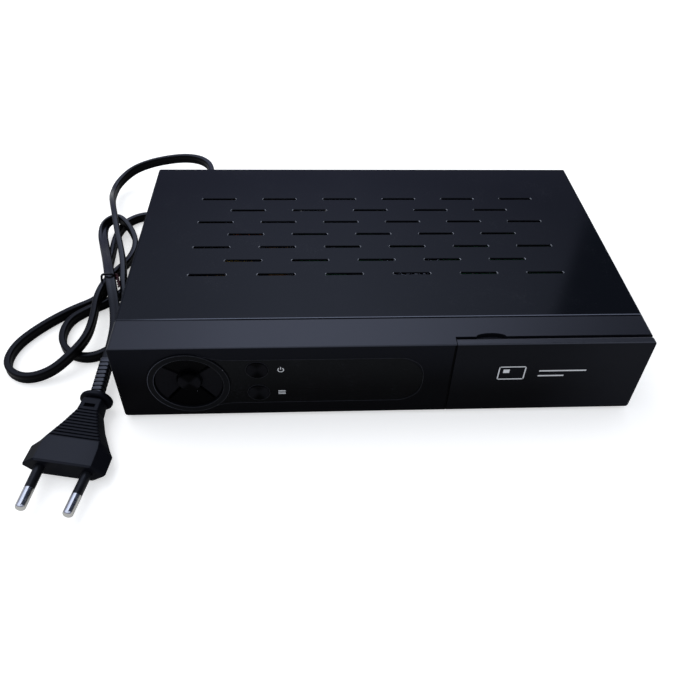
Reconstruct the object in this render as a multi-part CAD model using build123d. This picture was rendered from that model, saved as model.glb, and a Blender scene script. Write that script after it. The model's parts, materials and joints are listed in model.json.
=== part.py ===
from build123d import *
import math
import os

# Satellite TV receiver in millimetres. +X right, +Y to the rear, +Z up.
# Origin: on the floor, midway between the front face and the ends of the rear sockets.

# ---- case ----
case_width = 220.0
case_height = 39.5
case_depth = 137.4
foot_height = 1.5
socket_reach = 11.6
sheet = 0.8
wall = 2.0
fascia_depth = 17.0
edge_round = 1.4
seam_gap = 0.3
slip = 0.1

front_y = -(case_depth + socket_reach) / 2
rear_y = front_y + case_depth
rear_wall_out = rear_y - sheet
rear_wall_in = rear_wall_out - sheet
fascia_rear = front_y + fascia_depth
bottom_z = foot_height
top_z = bottom_z + case_height
half_width = case_width / 2
pan_top = bottom_z + sheet

# ---- screws and feet ----
screw_radius = 1.5
screw_head = 2.8
head_height = 1.6
head_round = 0.6
cross_length = 2.8
cross_width = 0.8
cross_depth = 0.9
foot_radius = 6.0
foot_round = 0.8
foot_inset_x = 15.0
foot_inset_y = 14.0

# ---- top cover ----
vent_length = 17.3
vent_width = 1.9
vent_pitch_x = 30.2
vent_pitch_y = 10.25
vent_rows = 7
vents_in_long_row = 6
first_vent = 46.5
rear_lip = 8.0
tongue_reach = 5.0
tongue_margin = 6.0
cover_screw_insets = (14.0, 10.0)
cover_screw_x = (cover_screw_insets[0] - half_width, 0.0, half_width - cover_screw_insets[1])
cover_screw_z = top_z - rear_lip / 2
cover_front = fascia_rear + seam_gap

# ---- base pan ----
pan_side_height = 9.0
pan_flange_height = 34.5
pan_flange_back = 2.0
rear_wall_height = 38.3
side_vents = 6
side_vent_pitch = 8.0
side_vent_length = 14.0
side_vent_inset = 24.0
pan_half = half_width - sheet - slip
flange_y = fascia_rear + pan_flange_back

# ---- card door ----
door_width = 81.8
door_thick = 4.5
door_gap = 0.4
door_skin = 1.8
door_rim = 3.0
hinge_drop = 2.6
hinge_pin_radius = 0.75
hinge_clearance = 0.05
hinge_lug_radius = 1.4
hinge_lug_width = 4.0
hinge_lug_inset = 12.0
hinge_lug_gap = 0.35
hinge_pin_grip = 4.0
hinge_groove = 1.1
magnet_size = 6.0
magnet_depth = 2.6
magnet_inset_x = 14.0
magnet_inset_z = 8.0
notch_inset = 14.4
notch_width = 12.2
notch_depth = 2.0

door_left = half_width - door_width
notch_centre = door_left + notch_inset
divider_x = door_left - seam_gap
hinge_y = front_y + hinge_drop
hinge_z = bottom_z + hinge_drop
recess_y = front_y + door_thick + door_gap
inner_wall_y = recess_y + wall
lug_centres = (door_left + hinge_lug_inset, half_width - hinge_lug_inset)
magnet_x = half_width - magnet_inset_x
magnet_z = top_z - magnet_inset_z

# ---- navigation pad ----
pad_inset = 29.6
pad_height = 19.8
ring_radius = 16.7
ring_inner = 14.0
ring_proud = 0.7
ring_sunk = 1.0
key_outer = 13.6
key_inner = 5.3
key_dish = 1.5
key_recess = 0.5
key_groove = 1.3
key_flange = 1.0
flange_reach = 1.3
key_travel = 0.5
stem_radius = 1.5
ok_radius = 4.75
ok_recess = 0.2
ok_round = 0.6

pad_x = pad_inset - half_width
pad_z = bottom_z + pad_height

# ---- window and round buttons ----
window_inset = 12.1
window_height = 25.2
window_middle = 20.1
window_thick = 1.2
window_recess = 0.05
window_ledge = 1.6
button_offset = 28.1
power_height = 26.9
menu_height = 13.6
button_radius = 4.3
button_gap = 0.25
button_proud = 0.3
button_ball = 14.0
press_gap = 0.2

window_right = door_left - window_inset
window_z = bottom_z + window_middle
button_x = pad_x + button_offset
power_z = bottom_z + power_height
menu_z = bottom_z + menu_height

# ---- front board ----
front_board_depth = 9.5
board_thick = 1.6
front_board_inset = 7.0
front_board_reach = 6.9
front_board_lift = 4.5
front_board_drop = 4.0
switch_size = 6.0
switch_height = 3.5
plunger_radius = 1.7
plunger_height = 0.8
boss_radius = 3.0
display_width = 26.0
display_height = 14.0
display_gap = 0.4
eye_inset = 6.3
eye_size = (5.6, 4.0, 6.8)
eye_lens = 1.9
lamp_gap = 3.5
lamp_radius = 1.5
lamp_length = 5.0
clip_insets = (40.0, 80.0)
clip_width = 10.0
clip_reach = 6.0

front_board_y = front_y + front_board_depth
front_board_left = front_board_inset - half_width
front_board_right = window_right + front_board_reach
front_board_low = bottom_z + front_board_lift
front_board_high = top_z - front_board_drop
eye_x = window_right - eye_inset
display_x = eye_x - eye_size[0] - display_width / 2
lamp_x = display_x - display_width / 2 - lamp_gap
clip_centres = [inset - half_width for inset in clip_insets]
front_board_back = front_board_y + board_thick
plunger_y = front_board_y - switch_height - plunger_height
stem_end = plunger_y - key_travel - slip

# ---- power board ----
board_lift = 5.0
power_inset = 6.0
power_width = 62.0
power_front = -48.0
power_rear = 50.0
sheet_margin = 2.0
insulator = 0.4
corner_inset = 4.0
core_size = (28.0, 12.0, 24.0)
winding_size = (18.0, 22.0, 17.0)
core_offset = (38.0, 4.0)
bulk_radius = 8.0
bulk_height = 26.0
bulk_offset = (14.0, 2.0)
fuse_radius = 2.6
fuse_length = 20.0
fuse_lift = 4.6
fuse_offset = (16.0, 30.0)
fuse_clip = (4.0, 7.2)
choke_offset = (42.0, 34.0)
choke_radius = 6.5
choke_length = 14.0
choke_flange = 1.6
heat_plate_offset = (20.0, -24.0)
heat_plate = (30.0, 1.6, 26.0)
transistor = (10.2, 4.6, 15.6)
wire_radius = 0.8
wire_bend = 4.0
harness_wires = 5
harness_pitch = 2.4
harness_y = -34.0
harness_height = 9.0
harness_rise = 8.0
harness_inset = 3.5
harness_socket = 5.0
mains_socket_y = 45.0
mains_socket = (10.0, 6.0, 7.0)
mains_wire_gap = 4.0

board_z = pan_top + board_lift
board_top = board_z + board_thick
power_left = power_inset - half_width
power_right = power_left + power_width

# ---- main board ----
board_gap = 6.0
main_inset = 6.0
main_front = -50.0
main_rear_gap = 1.2
standoff_radius = 2.8
main_screw_inset = 6.0
main_screw_y = 18.0
chip_offset = (58.0, 6.0)
chip_size = 24.0
chip_thick = 1.8
fin_count = 7
fin_height = 7.0
fin_thick = 1.2
sink_size = 27.0
sink_base = 2.0
memory_offsets = ((30.0, -2.0), (30.0, 14.0))
memory_size = (10.5, 13.3, 1.2)
small_can_offsets = ((16.0, 34.0), (28.0, 36.0), (46.0, 32.0), (68.0, 30.0), (14.0, -12.0))
small_can_radius = 3.2
small_can_height = 11.0
ribbon_offset = 19.0
ribbon_width = 16.0
ribbon_thick = 0.6
ribbon_height = 8.0
ribbon_sag = 1.6
ribbon_socket = 5.0
ribbon_socket_margin = 1.5

main_left = power_right + board_gap
main_right = half_width - main_inset
main_rear = rear_wall_in - main_rear_gap
ribbon_x = front_board_right - ribbon_offset
ribbon_z = board_top + ribbon_height

# ---- card reader ----
reader_width = 61.0
reader_depth = 56.0
reader_height = 6.6
card_width = 54.8
card_gap = 1.6
mouth_height = 4.6
mouth_straight = 3.2
mouth_taper = 3.0
slot_margin = 0.2
slot_x = (door_left + half_width) / 2
slot_z = board_top + reader_height / 2
reader_left = slot_x - reader_width / 2

# ---- rear sockets ----
tuner_width = 34.0
tuner_depth = 30.0
tuner_height = 14.0
aerial_inset = 8.5
aerial_pitch = 17.0
aerial_radius = 4.7625
aerial_bore = 0.8
bore_depth = 8.0
barrel_chamfer = 0.4
nut_flat = 5.6
nut_thick = 2.0
av_insets = (48.0, 60.0, 72.0)
digital_inset = 85.5
av_radius = 4.15
av_reach = 9.0
av_bore = 1.65
av_block = 13.0
av_ring = 5.6
av_ring_thick = 1.2
hdmi_offset = 24.0
hdmi_width = 15.2
hdmi_height = 6.4
hdmi_tongue = (10.0, 1.2)
usb_offset = 8.0
usb_width = 13.6
usb_height = 7.2
usb_tongue = (11.0, 1.8)
tongue_recess = 1.0
shell_wall = 0.5
shell_depth = 12.0
cavity_depth = 9.0
socket_gap = 0.3

tuner_left = main_right - tuner_width
aerial_x = (tuner_left + aerial_inset, tuner_left + aerial_inset + aerial_pitch)
av_x = tuple(half_width - inset for inset in reversed(av_insets))
digital_x = half_width - digital_inset
hdmi_x = main_left + hdmi_offset
usb_x = main_left + usb_offset
socket_z = board_top + tuner_height / 2
socket_face = rear_wall_in - socket_gap

# ---- power cord ----
cord_diameter = 4.1
cord_inset = 24.0
cord_exit_z = 24.5
bushing_length = 21.9
bushing_radius = 5.0
bushing_tip = 3.5
bushing_neck = 5.4
bushing_flange = 7.2
bushing_flange_thick = 1.6
bushing_grooves = 5
cord_lead = 8.5
arc_share = 0.45
tie_wire = 1.0
tie_y = 8.3
tie_away = 27.8
tie_near = 18.1
tie_top = 13.9
tie_corner = 3.0
twist_reach = 0.2
twist_drop = 1.9
twist_behind = 2.3
twist_radius = 0.9
twist_run = (2.7, -8.6, -1.4)

cord_exit_x = cord_inset - half_width
tie_left = -half_width - tie_away
tie_right = -half_width - tie_near

# ---- plug ----
plug_away = 17.2
plug_front_y = -105.4
plug_lift = 6.0
plug_turn = -8.0
plug_roll = 5.0
plug_width = 33.0
plug_collar = (14.0, 11.2, 2.6)
plug_length = 38.5
neck_start = 27.4
rib_start = 12.4
rib_pitch = 1.6
rib_count = 10
rib_cut = 0.7
rib_sink = 0.6
boot_radius = 2.9
boot_tip = 2.5
boot_length = 21.4
boot_grooves = 6
groove_depth = 0.6
boot_cut = 0.3
groove_share = 0.4
pin_spacing = 18.6
pin_radius = 2.0
pin_core = 1.5
pin_length = 19.0
pin_lean = 1.5
sleeve_length = 10.0
sleeve_radius = 1.95
sleeve_bore = 1.55

REAR = (0, 1, 0)
FRONT = (0, -1, 0)
UP = (0, 0, 1)
RIGHT = (1, 0, 0)

parts = {}


def block(x0, x1, y0, y1, z0, z1):
    """A block between two opposite corners."""
    centre = Pos((x0 + x1) / 2, (y0 + y1) / 2, (z0 + z1) / 2)
    return centre * Box(x1 - x0, y1 - y0, z1 - z0)


def slab_at(x, y, z, size_x, size_y, size_z):
    """A block that stands on a height z, centred on x and y."""
    return block(x - size_x / 2, x + size_x / 2, y - size_y / 2, y + size_y / 2, z, z + size_z)


def rod(start, direction, radius, length):
    """A round bar from a start point along a direction."""
    return extrude(Plane(start, z_dir=direction) * Circle(radius), length)


def tube(start, direction, radius, bore, length):
    """A round bar with a hole along it."""
    return rod(start, direction, radius, length) - rod(start, direction, bore, length)


def cone(start, direction, radius, end_radius, length):
    """A round bar that tapers from one radius to another."""
    shape = Cone(radius, end_radius, length, align=(Align.CENTER, Align.CENTER, Align.MIN))
    return Plane(start, z_dir=direction).location * shape


def facing(outline, y, thickness):
    """Extrudes an outline drawn in X and Z towards the rear, from a given y."""
    return extrude(Plane((0, y, 0), x_dir=(1, 0, 0), z_dir=FRONT) * outline, -thickness)


def group(shapes):
    """Several solids that share one name."""
    return Compound(children=list(shapes))


def screw(point, outward, length):
    """A cross-head screw whose head sits on a point and faces outward."""
    head = extrude(Circle(screw_head), head_height)
    head = fillet(head.edges().group_by(Axis.Z)[-1], head_round)
    shank = extrude(Circle(screw_radius), -length)
    cross = Box(cross_length, cross_width, 2 * cross_depth) + Box(cross_width, cross_length, 2 * cross_depth)
    shape = head + shank - Pos(0, 0, head_height) * cross
    return Plane(point, z_dir=outward).location * shape


# ---------------------------------------------------------------- case


def front_outline():
    """The outer form that the fascia and the card door share."""
    body = block(-half_width, half_width, front_y, fascia_rear, bottom_z, top_z)
    body = fillet(body.edges().filter_by(Axis.Y), edge_round)
    return fillet(body.edges().group_by(Axis.Y)[0], edge_round * 0.6)


def window_outline():
    """The smoked window: a bar with a round right end, whose left end runs under the pad's ring."""
    radius = window_height / 2
    end_x = window_right - radius
    bar = Pos((pad_x + end_x) / 2, window_z) * Rectangle(end_x - pad_x, window_height)
    return bar + Pos(end_x, window_z) * Circle(radius)


def board_corners():
    """Where the front board is screwed to the fascia."""
    return [(x, z) for x in (front_board_left + boss_radius, front_board_right - boss_radius)
            for z in (front_board_low + boss_radius, front_board_high - boss_radius)]




def make_fascia():
    body = front_outline()
    body -= block(-half_width + wall, divider_x - wall, front_y + wall, fascia_rear,
                  bottom_z + wall, top_z - wall)
    body -= block(divider_x, half_width, front_y, recess_y, bottom_z, top_z)
    body -= block(divider_x, half_width - wall, inner_wall_y, fascia_rear, bottom_z + wall, top_z - wall)
    body += block(divider_x, half_width - wall, inner_wall_y, inner_wall_y + hinge_groove,
                  bottom_z + wall, board_top - slip)
    body -= block(divider_x, half_width, front_y, recess_y + hinge_groove,
                  bottom_z, hinge_z + hinge_drop + door_gap)
    body -= slot_cut()
    body -= facing(Pos(pad_x, pad_z) * Circle(ring_inner), front_y, wall)
    body -= facing(Pos(pad_x, pad_z) * Circle(ring_radius + slip), front_y, ring_sunk)
    body -= facing(window_outline(), front_y, window_thick)
    ring_land = Pos(pad_x, pad_z) * Circle(ring_radius + wall)
    body -= facing(offset(window_outline(), -window_ledge) - ring_land, front_y, wall)
    for z in (power_z, menu_z):
        body += facing(Pos(button_x, z) * Circle(button_radius + 2 * wall),
                       front_y + window_thick, wall - window_thick)
    for z in (power_z, menu_z):
        body -= facing(Pos(button_x, z) * Circle(button_radius + button_gap), front_y, wall)
    finger_notch = Pos(notch_centre, recess_y) * Ellipse(notch_width / 2, notch_depth)
    body -= extrude(Plane.XY.offset(top_z - wall) * finger_notch, wall)
    for x, z in board_corners():
        body += tube((x, front_y + wall, z), REAR, boss_radius, screw_radius + slip,
                     front_board_y - front_y - wall)
    for x in clip_centres:
        body += block(x - clip_width / 2, x + clip_width / 2, fascia_rear - wall,
                      fascia_rear + clip_reach, pan_top, bottom_z + wall)
    body += hinge_lugs()
    return body - magnet_pocket(slip) + magnet_cup()


def slot_cut():
    """The card slot through the wall behind the door."""
    half_slot = card_width / 2 + slot_margin
    return block(slot_x - half_slot, slot_x + half_slot, front_y, fascia_rear,
                 slot_z - mouth_height / 2 - slot_margin, slot_z + mouth_height / 2 + slot_margin)


def hinge_lugs():
    """The two ears that carry the door's pins."""
    lugs = Part()
    for x in lug_centres:
        x0 = x - hinge_lug_width / 2
        lug = rod((x0, hinge_y, hinge_z), RIGHT, hinge_lug_radius, hinge_lug_width)
        lug += block(x0, x0 + hinge_lug_width, hinge_y, inner_wall_y + hinge_groove,
                     hinge_z - hinge_lug_radius, hinge_z + hinge_lug_radius)
        lug -= rod((x0, hinge_y, hinge_z), RIGHT, hinge_pin_radius + hinge_clearance, hinge_lug_width)
        lugs += lug
    return lugs


def magnet_pocket(gap):
    """The space for the catch's magnet, open to the door."""
    reach = magnet_size / 2 + gap
    return block(magnet_x - reach, magnet_x + reach, recess_y, recess_y + magnet_depth + gap,
                 magnet_z - reach, magnet_z + reach)


def magnet_cup():
    """The moulded cup round the magnet, behind the wall."""
    reach = magnet_size / 2 + wall
    cup = block(magnet_x - reach, magnet_x + reach, inner_wall_y, recess_y + magnet_depth + wall,
                magnet_z - reach, magnet_z + reach)
    return cup - magnet_pocket(slip)


def make_door():
    zone = block(door_left, half_width, front_y, front_y + door_thick, bottom_z, top_z)
    body = front_outline() & zone
    low_edges = body.edges().filter_by(Axis.X).group_by(Axis.Z)[0]
    body = fillet(low_edges.sort_by(Axis.Y)[-1], hinge_drop * 0.7)
    body -= block(door_left + door_rim, half_width - door_rim, front_y + door_skin, front_y + door_thick,
                  hinge_z + hinge_drop + door_rim, top_z - door_rim)
    body += block(magnet_x - magnet_size, magnet_x + magnet_size, front_y + door_skin,
                  front_y + door_thick - sheet, magnet_z - magnet_size, top_z - door_rim)
    reach = hinge_lug_radius + hinge_lug_gap
    half_notch = hinge_lug_width / 2 + hinge_lug_gap
    pin_hole = hinge_pin_radius + hinge_clearance
    for x in lug_centres:
        body -= block(x - half_notch, x + half_notch, hinge_y - reach, front_y + door_thick,
                      bottom_z, hinge_z + reach)
        start = x - half_notch - hinge_pin_grip
        body -= rod((start, hinge_y, hinge_z), RIGHT, pin_hole, 2 * (half_notch + hinge_pin_grip))
    return body


def make_hinge_pins():
    half_pin = hinge_lug_width / 2 + hinge_lug_gap + hinge_pin_grip - slip
    return group(rod((x - half_pin, hinge_y, hinge_z), RIGHT, hinge_pin_radius, 2 * half_pin)
                 for x in lug_centres)


def make_catch_plate():
    return block(magnet_x - magnet_size / 2, magnet_x + magnet_size / 2, front_y + door_thick - sheet,
                 front_y + door_thick, magnet_z - magnet_size / 2, magnet_z + magnet_size / 2)


def vent_centres():
    """Centres of the cover's slots: rows of six and of five by turns."""
    centres = []
    for row in range(vent_rows):
        count = vents_in_long_row - row % 2
        y = front_y + first_vent + row * vent_pitch_y
        centres += [((k - (count - 1) / 2) * vent_pitch_x, y) for k in range(count)]
    return centres


def make_cover():
    inner = half_width - sheet
    body = block(-half_width, half_width, cover_front, rear_y, bottom_z, top_z)
    body = fillet(body.edges().filter_by(Axis.Y).group_by(Axis.Z)[-1], edge_round)
    body -= block(-inner, inner, cover_front + sheet, rear_wall_out, bottom_z, top_z - sheet)
    body -= block(-inner, inner, rear_wall_out, rear_y, bottom_z, top_z - rear_lip)
    tongue_z = top_z - wall - slip - sheet
    body -= block(-inner, inner, cover_front, cover_front + sheet, bottom_z, tongue_z)
    left_end = divider_x - wall - tongue_margin
    for x0, x1 in ((tongue_margin - half_width, left_end), (divider_x + tongue_margin, half_width - tongue_margin)):
        body += block(x0, x1, cover_front - tongue_reach, cover_front + sheet, tongue_z, tongue_z + sheet)
    slot = extrude(SlotOverall(vent_length, vent_width), sheet)
    body -= [Pos(x, y, top_z - sheet) * slot for x, y in vent_centres()]
    body -= [rod((x, rear_wall_out, cover_screw_z), REAR, screw_radius + slip, sheet) for x in cover_screw_x]
    return body


def make_pan():
    body = block(-pan_half, pan_half, fascia_rear, rear_wall_out, bottom_z, pan_top)
    body += block(-pan_half, pan_half, rear_wall_in, rear_wall_out, bottom_z, bottom_z + rear_wall_height)
    for x in (-pan_half, pan_half - sheet):
        body += block(x, x + sheet, flange_y, rear_wall_out, bottom_z, bottom_z + pan_side_height)
    body += block(-pan_half, pan_half, flange_y, flange_y + sheet, bottom_z, bottom_z + pan_flange_height)
    body -= block(ribbon_x - ribbon_width / 2 - wall, ribbon_x + ribbon_width / 2 + wall,
                  flange_y, flange_y + sheet, pan_top, ribbon_z + 2 * wall)
    body -= block(slot_x - reader_width / 2 - wall, slot_x + reader_width / 2 + wall,
                  flange_y, flange_y + sheet, pan_top, slot_z + reader_height / 2 + wall)
    for x in clip_centres:
        body -= block(x - clip_width / 2 - slip, x + clip_width / 2 + slip,
                      flange_y, flange_y + sheet, pan_top, bottom_z + wall + slip)
    holes = [((x, socket_z), aerial_radius + socket_gap) for x in aerial_x]
    holes += [((x, socket_z), av_radius + socket_gap) for x in av_x + (digital_x,)]
    holes += [((x, cover_screw_z), screw_radius + slip) for x in cover_screw_x]
    holes += [((cord_exit_x, cord_exit_z), bushing_neck + slip)]
    for (x, z), radius in holes:
        body -= rod((x, rear_wall_in, z), REAR, radius, sheet)
    for x, width, height in ((hdmi_x, hdmi_width, hdmi_height), (usb_x, usb_width, usb_height)):
        body -= block(x - width / 2 - slip, x + width / 2 + slip, rear_wall_in, rear_wall_out,
                      board_top - slip, board_top + height + slip)
    slot = extrude(SlotOverall(side_vent_length, vent_width), sheet)
    for x in (side_vent_inset - half_width, half_width - side_vent_inset):
        for row in range(side_vents):
            y = (row - (side_vents - 1) / 2) * side_vent_pitch
            body -= Pos(x, y, bottom_z) * slot
    return body


def make_feet():
    feet = []
    for x in (foot_inset_x - half_width, half_width - foot_inset_x):
        for y in (fascia_rear + foot_inset_y, rear_wall_out - foot_inset_y):
            foot = rod((x, y, 0), UP, foot_radius, foot_height)
            feet.append(fillet(foot.edges().group_by(Axis.Z)[0], foot_round))
    return group(feet)


def make_cover_screws():
    return group(screw((x, rear_y, cover_screw_z), REAR, 2 * sheet + wall) for x in cover_screw_x)


# ---------------------------------------------------------------- front controls


def make_ring():
    body = tube((pad_x, front_y - ring_proud, pad_z), REAR, ring_radius, ring_inner, ring_proud + ring_sunk)
    outer_front = body.edges().group_by(Axis.Y)[0]
    return fillet(outer_front, ring_proud * 0.6)


def make_direction_keys():
    """The pad's four keys: one dished disc cut by a diagonal cross."""
    flange_y0 = front_y + wall + press_gap
    face_y = front_y + key_recess
    disc = rod((pad_x, face_y, pad_z), REAR, key_outer, flange_y0 - face_y)
    disc += rod((pad_x, flange_y0, pad_z), REAR, key_outer + flange_reach, key_flange)
    dish_depth = key_dish * key_outer / (key_outer - key_inner)
    disc -= cone((pad_x, face_y, pad_z), REAR, key_outer, 0, dish_depth)
    disc -= rod((pad_x, front_y, pad_z), REAR, key_inner, 2 * fascia_depth)
    reach = 2 * (key_outer + flange_reach)
    for turn in (45, -45):
        cut = Box(reach + wall, 4 * wall + 4 * key_flange, key_groove)
        disc -= Pos(pad_x, front_y + wall, pad_z) * Rot(0, turn, 0) * cut
    middle = (key_inner + key_outer) / 2
    names = {"up_key": (0, middle), "down_key": (0, -middle), "left_key": (-middle, 0), "right_key": (middle, 0)}
    keys = {}
    for name, (dx, dz) in names.items():
        spot = Vector(pad_x + dx, flange_y0, pad_z + dz)
        key = disc.solids().sort_by(lambda s: (s.center() - spot).length)[0]
        stem_start = flange_y0 + key_flange
        keys[name] = key + rod((spot.X, stem_start, spot.Z), REAR, stem_radius, stem_end - stem_start)
    return keys


def make_ok_button():
    foot_start = front_y + wall + press_gap + key_flange + key_travel + press_gap
    body = rod((pad_x, front_y + ok_recess, pad_z), REAR, ok_radius, foot_start - front_y - ok_recess)
    body = fillet(body.edges().group_by(Axis.Y)[0], ok_round)
    return body + rod((pad_x, foot_start, pad_z), REAR, key_inner + key_flange, stem_end - foot_start)


def make_round_button(z):
    """A round button with a dished face, a flange behind the fascia and a stem."""
    flange_y0 = front_y + wall + press_gap
    face_y = front_y - button_proud
    body = rod((button_x, face_y, z), REAR, button_radius, flange_y0 - face_y)
    body += rod((button_x, flange_y0, z), REAR, button_radius + flange_reach, key_flange)
    body += rod((button_x, flange_y0 + key_flange, z), REAR, stem_radius, stem_end - flange_y0 - key_flange)
    rim = button_radius - button_gap
    ball_y = face_y - math.sqrt(button_ball ** 2 - rim ** 2)
    return body - Pos(button_x, ball_y, z) * Sphere(button_ball)


def make_window():
    outline = offset(window_outline(), -slip) - Pos(pad_x, pad_z) * Circle(ring_radius + 2 * slip)
    for z in (power_z, menu_z):
        outline -= Pos(button_x, z) * Circle(button_radius + 2 * button_gap)
    return facing(outline, front_y + window_recess, window_thick - window_recess)


# ---------------------------------------------------------------- front board

switch_radius_out = (key_inner + key_outer) / 2
switch_spots = [(pad_x, pad_z), (button_x, power_z), (button_x, menu_z),
                (pad_x, pad_z + switch_radius_out), (pad_x, pad_z - switch_radius_out),
                (pad_x - switch_radius_out, pad_z), (pad_x + switch_radius_out, pad_z)]


def make_front_board():
    body = block(front_board_left, front_board_right, front_board_y, front_board_back,
                 front_board_low, front_board_high)
    for x, z in board_corners():
        body -= rod((x, front_board_y, z), REAR, screw_radius + slip, board_thick)
    return body


def make_switches():
    switches = []
    for x, z in switch_spots:
        half = switch_size / 2
        case = block(x - half, x + half, front_board_y - switch_height, front_board_y, z - half, z + half)
        switches.append(case + rod((x, plunger_y, z), REAR, plunger_radius, plunger_height))
    return group(switches)


def make_display():
    half = display_width / 2
    return block(display_x - half, display_x + half, front_y + window_thick + display_gap, front_board_y,
                 window_z - display_height / 2, window_z + display_height / 2)


def make_remote_eye():
    """The infrared receiver: a small block with a domed lens."""
    width, depth, height = eye_size
    body = slab_at(eye_x, front_board_y - depth / 2, window_z - height / 2, width, depth, height)
    return body + Pos(eye_x, front_board_y - depth, window_z) * Sphere(eye_lens)


def make_lamp():
    body = rod((lamp_x, front_board_y, window_z), FRONT, lamp_radius, lamp_length)
    return fillet(body.edges().group_by(Axis.Y)[0], lamp_radius - slip)


def make_ribbon():
    start_y = front_board_back + ribbon_socket
    end_y = main_front + 2 * ribbon_socket
    middle = ((start_y + end_y) / 2, ribbon_z - ribbon_sag)
    top_line = ThreePointArc((start_y, ribbon_z), middle, (end_y, ribbon_z))
    low_line = ThreePointArc((end_y, ribbon_z - ribbon_thick), (middle[0], middle[1] - ribbon_thick),
                             (start_y, ribbon_z - ribbon_thick))
    ends = [Line(top_line @ 1, low_line @ 0), Line(low_line @ 1, top_line @ 0)]
    outline = make_face([top_line, ends[0], low_line, ends[1]])
    side = Plane((ribbon_x - ribbon_width / 2, 0, 0), x_dir=REAR, z_dir=RIGHT)
    return extrude(side * outline, ribbon_width)


def ribbon_sockets():
    half = ribbon_width / 2 + ribbon_socket_margin
    front_socket = block(ribbon_x - half, ribbon_x + half, front_board_back, front_board_back + ribbon_socket,
                         ribbon_z - 2 * ribbon_socket_margin, ribbon_z + ribbon_socket_margin)
    end_y = main_front + 2 * ribbon_socket
    main_socket = block(ribbon_x - half, ribbon_x + half, end_y, end_y + ribbon_socket,
                        board_top, ribbon_z + ribbon_socket_margin)
    return [front_socket, main_socket]


# ---------------------------------------------------------------- main board

def on_board(left, offset):
    """A place on a board, from the board's left edge."""
    return left + offset[0], offset[1]


def main_screws():
    """Where the main board is screwed down."""
    near_left = main_left + main_screw_inset
    near_reader = reader_left - main_screw_inset
    return [(near_left, main_front + main_screw_inset), (near_reader, main_front + main_screw_inset),
            (near_left, main_screw_y), (main_right - main_screw_inset, main_screw_y)]


def power_screws():
    """Where the power board is screwed down."""
    return [(x, y) for x in (power_left + corner_inset, power_right - corner_inset)
            for y in (power_front + corner_inset, power_rear - corner_inset)]


def drilled_board(x0, x1, y0, y1, spots):
    body = block(x0, x1, y0, y1, board_z, board_top)
    for x, y in spots:
        body -= rod((x, y, board_z), UP, screw_radius + slip, board_thick)
    return body


def make_standoffs():
    return group(tube((x, y, pan_top), UP, standoff_radius, screw_radius + slip, board_lift)
                 for x, y in main_screws() + power_screws())


def make_board_screws():
    screws = [screw((x, y, board_top), UP, board_thick + board_lift - wall)
              for x, y in main_screws() + power_screws()]
    screws += [screw((x, front_board_back, z), REAR, board_thick + wall) for x, z in board_corners()]
    return group(screws)


def make_heatsink():
    x, y = on_board(main_left, chip_offset)
    base_z = board_top + chip_thick
    body = slab_at(x, y, base_z, sink_size, sink_size, sink_base)
    pitch = (sink_size - fin_thick) / (fin_count - 1)
    for k in range(fin_count):
        fin_x = x - sink_size / 2 + fin_thick / 2 + k * pitch
        body += slab_at(fin_x, y, base_z + sink_base, fin_thick, sink_size, fin_height)
    return body


def can(x, y, radius, height):
    """A round capacitor that stands on a board."""
    body = rod((x, y, board_top), UP, radius, height)
    return fillet(body.edges().group_by(Axis.Z)[-1], radius * 0.12)


def make_card_reader():
    front = inner_wall_y + slip
    body = block(reader_left, reader_left + reader_width, front, front + reader_depth, board_top, board_top + reader_height)
    half_card = card_width / 2
    taper_start = front + mouth_straight
    body -= block(slot_x - half_card, slot_x + half_card, front, taper_start,
                  slot_z - mouth_height / 2, slot_z + mouth_height / 2)
    wide = Plane((slot_x, taper_start, slot_z), x_dir=RIGHT, z_dir=REAR) * Rectangle(card_width, mouth_height)
    deep = taper_start + mouth_taper
    narrow = Plane((slot_x, deep, slot_z), x_dir=RIGHT, z_dir=REAR) * Rectangle(card_width, card_gap)
    body -= loft([wide, narrow])
    body -= block(slot_x - half_card, slot_x + half_card, deep, front + reader_depth - wall,
                  slot_z - card_gap / 2, slot_z + card_gap / 2)
    return body


# ---------------------------------------------------------------- rear sockets


def make_tuner():
    return block(tuner_left, main_right, socket_face - tuner_depth, socket_face,
                 board_top, board_top + tuner_height)


def make_aerial_socket(x):
    return barrel(x, aerial_radius, rear_wall_out + nut_thick, rear_y + socket_reach, aerial_bore)


def barrel(x, radius, seat_y, end_y, bore):
    """A round socket: a slimmer stretch under its nut or ring, then the free stretch for the plug."""
    stub = rod((x, socket_face, socket_z), REAR, radius - slip, seat_y - socket_face)
    free = rod((x, seat_y, socket_z), REAR, radius, end_y - seat_y)
    free = chamfer(free.edges().group_by(Axis.Y)[-1], barrel_chamfer)
    return stub + free - rod((x, end_y, socket_z), FRONT, bore, bore_depth)


def make_aerial_nuts():
    nuts = []
    for x in aerial_x:
        seat = Plane((x, rear_wall_out, socket_z), z_dir=REAR)
        nut = extrude(seat * RegularPolygon(nut_flat, 6, major_radius=False), nut_thick)
        nuts.append(nut - rod((x, rear_wall_out, socket_z), REAR, aerial_radius + hinge_clearance, nut_thick))
    return group(nuts)


def make_av_shells():
    seat_y = rear_wall_out + av_ring_thick
    return group(barrel(x, av_radius, seat_y, rear_wall_out + av_reach, av_bore) for x in av_x + (digital_x,))


def make_av_rings():
    return group(tube((x, rear_wall_out, socket_z), REAR, av_ring, av_radius + hinge_clearance, av_ring_thick)
                 for x in av_x + (digital_x,))


def av_housing(x0, x1):
    return block(x0 - av_block / 2, x1 + av_block / 2, socket_face - av_block, socket_face,
                 board_top, board_top + av_block)


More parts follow.
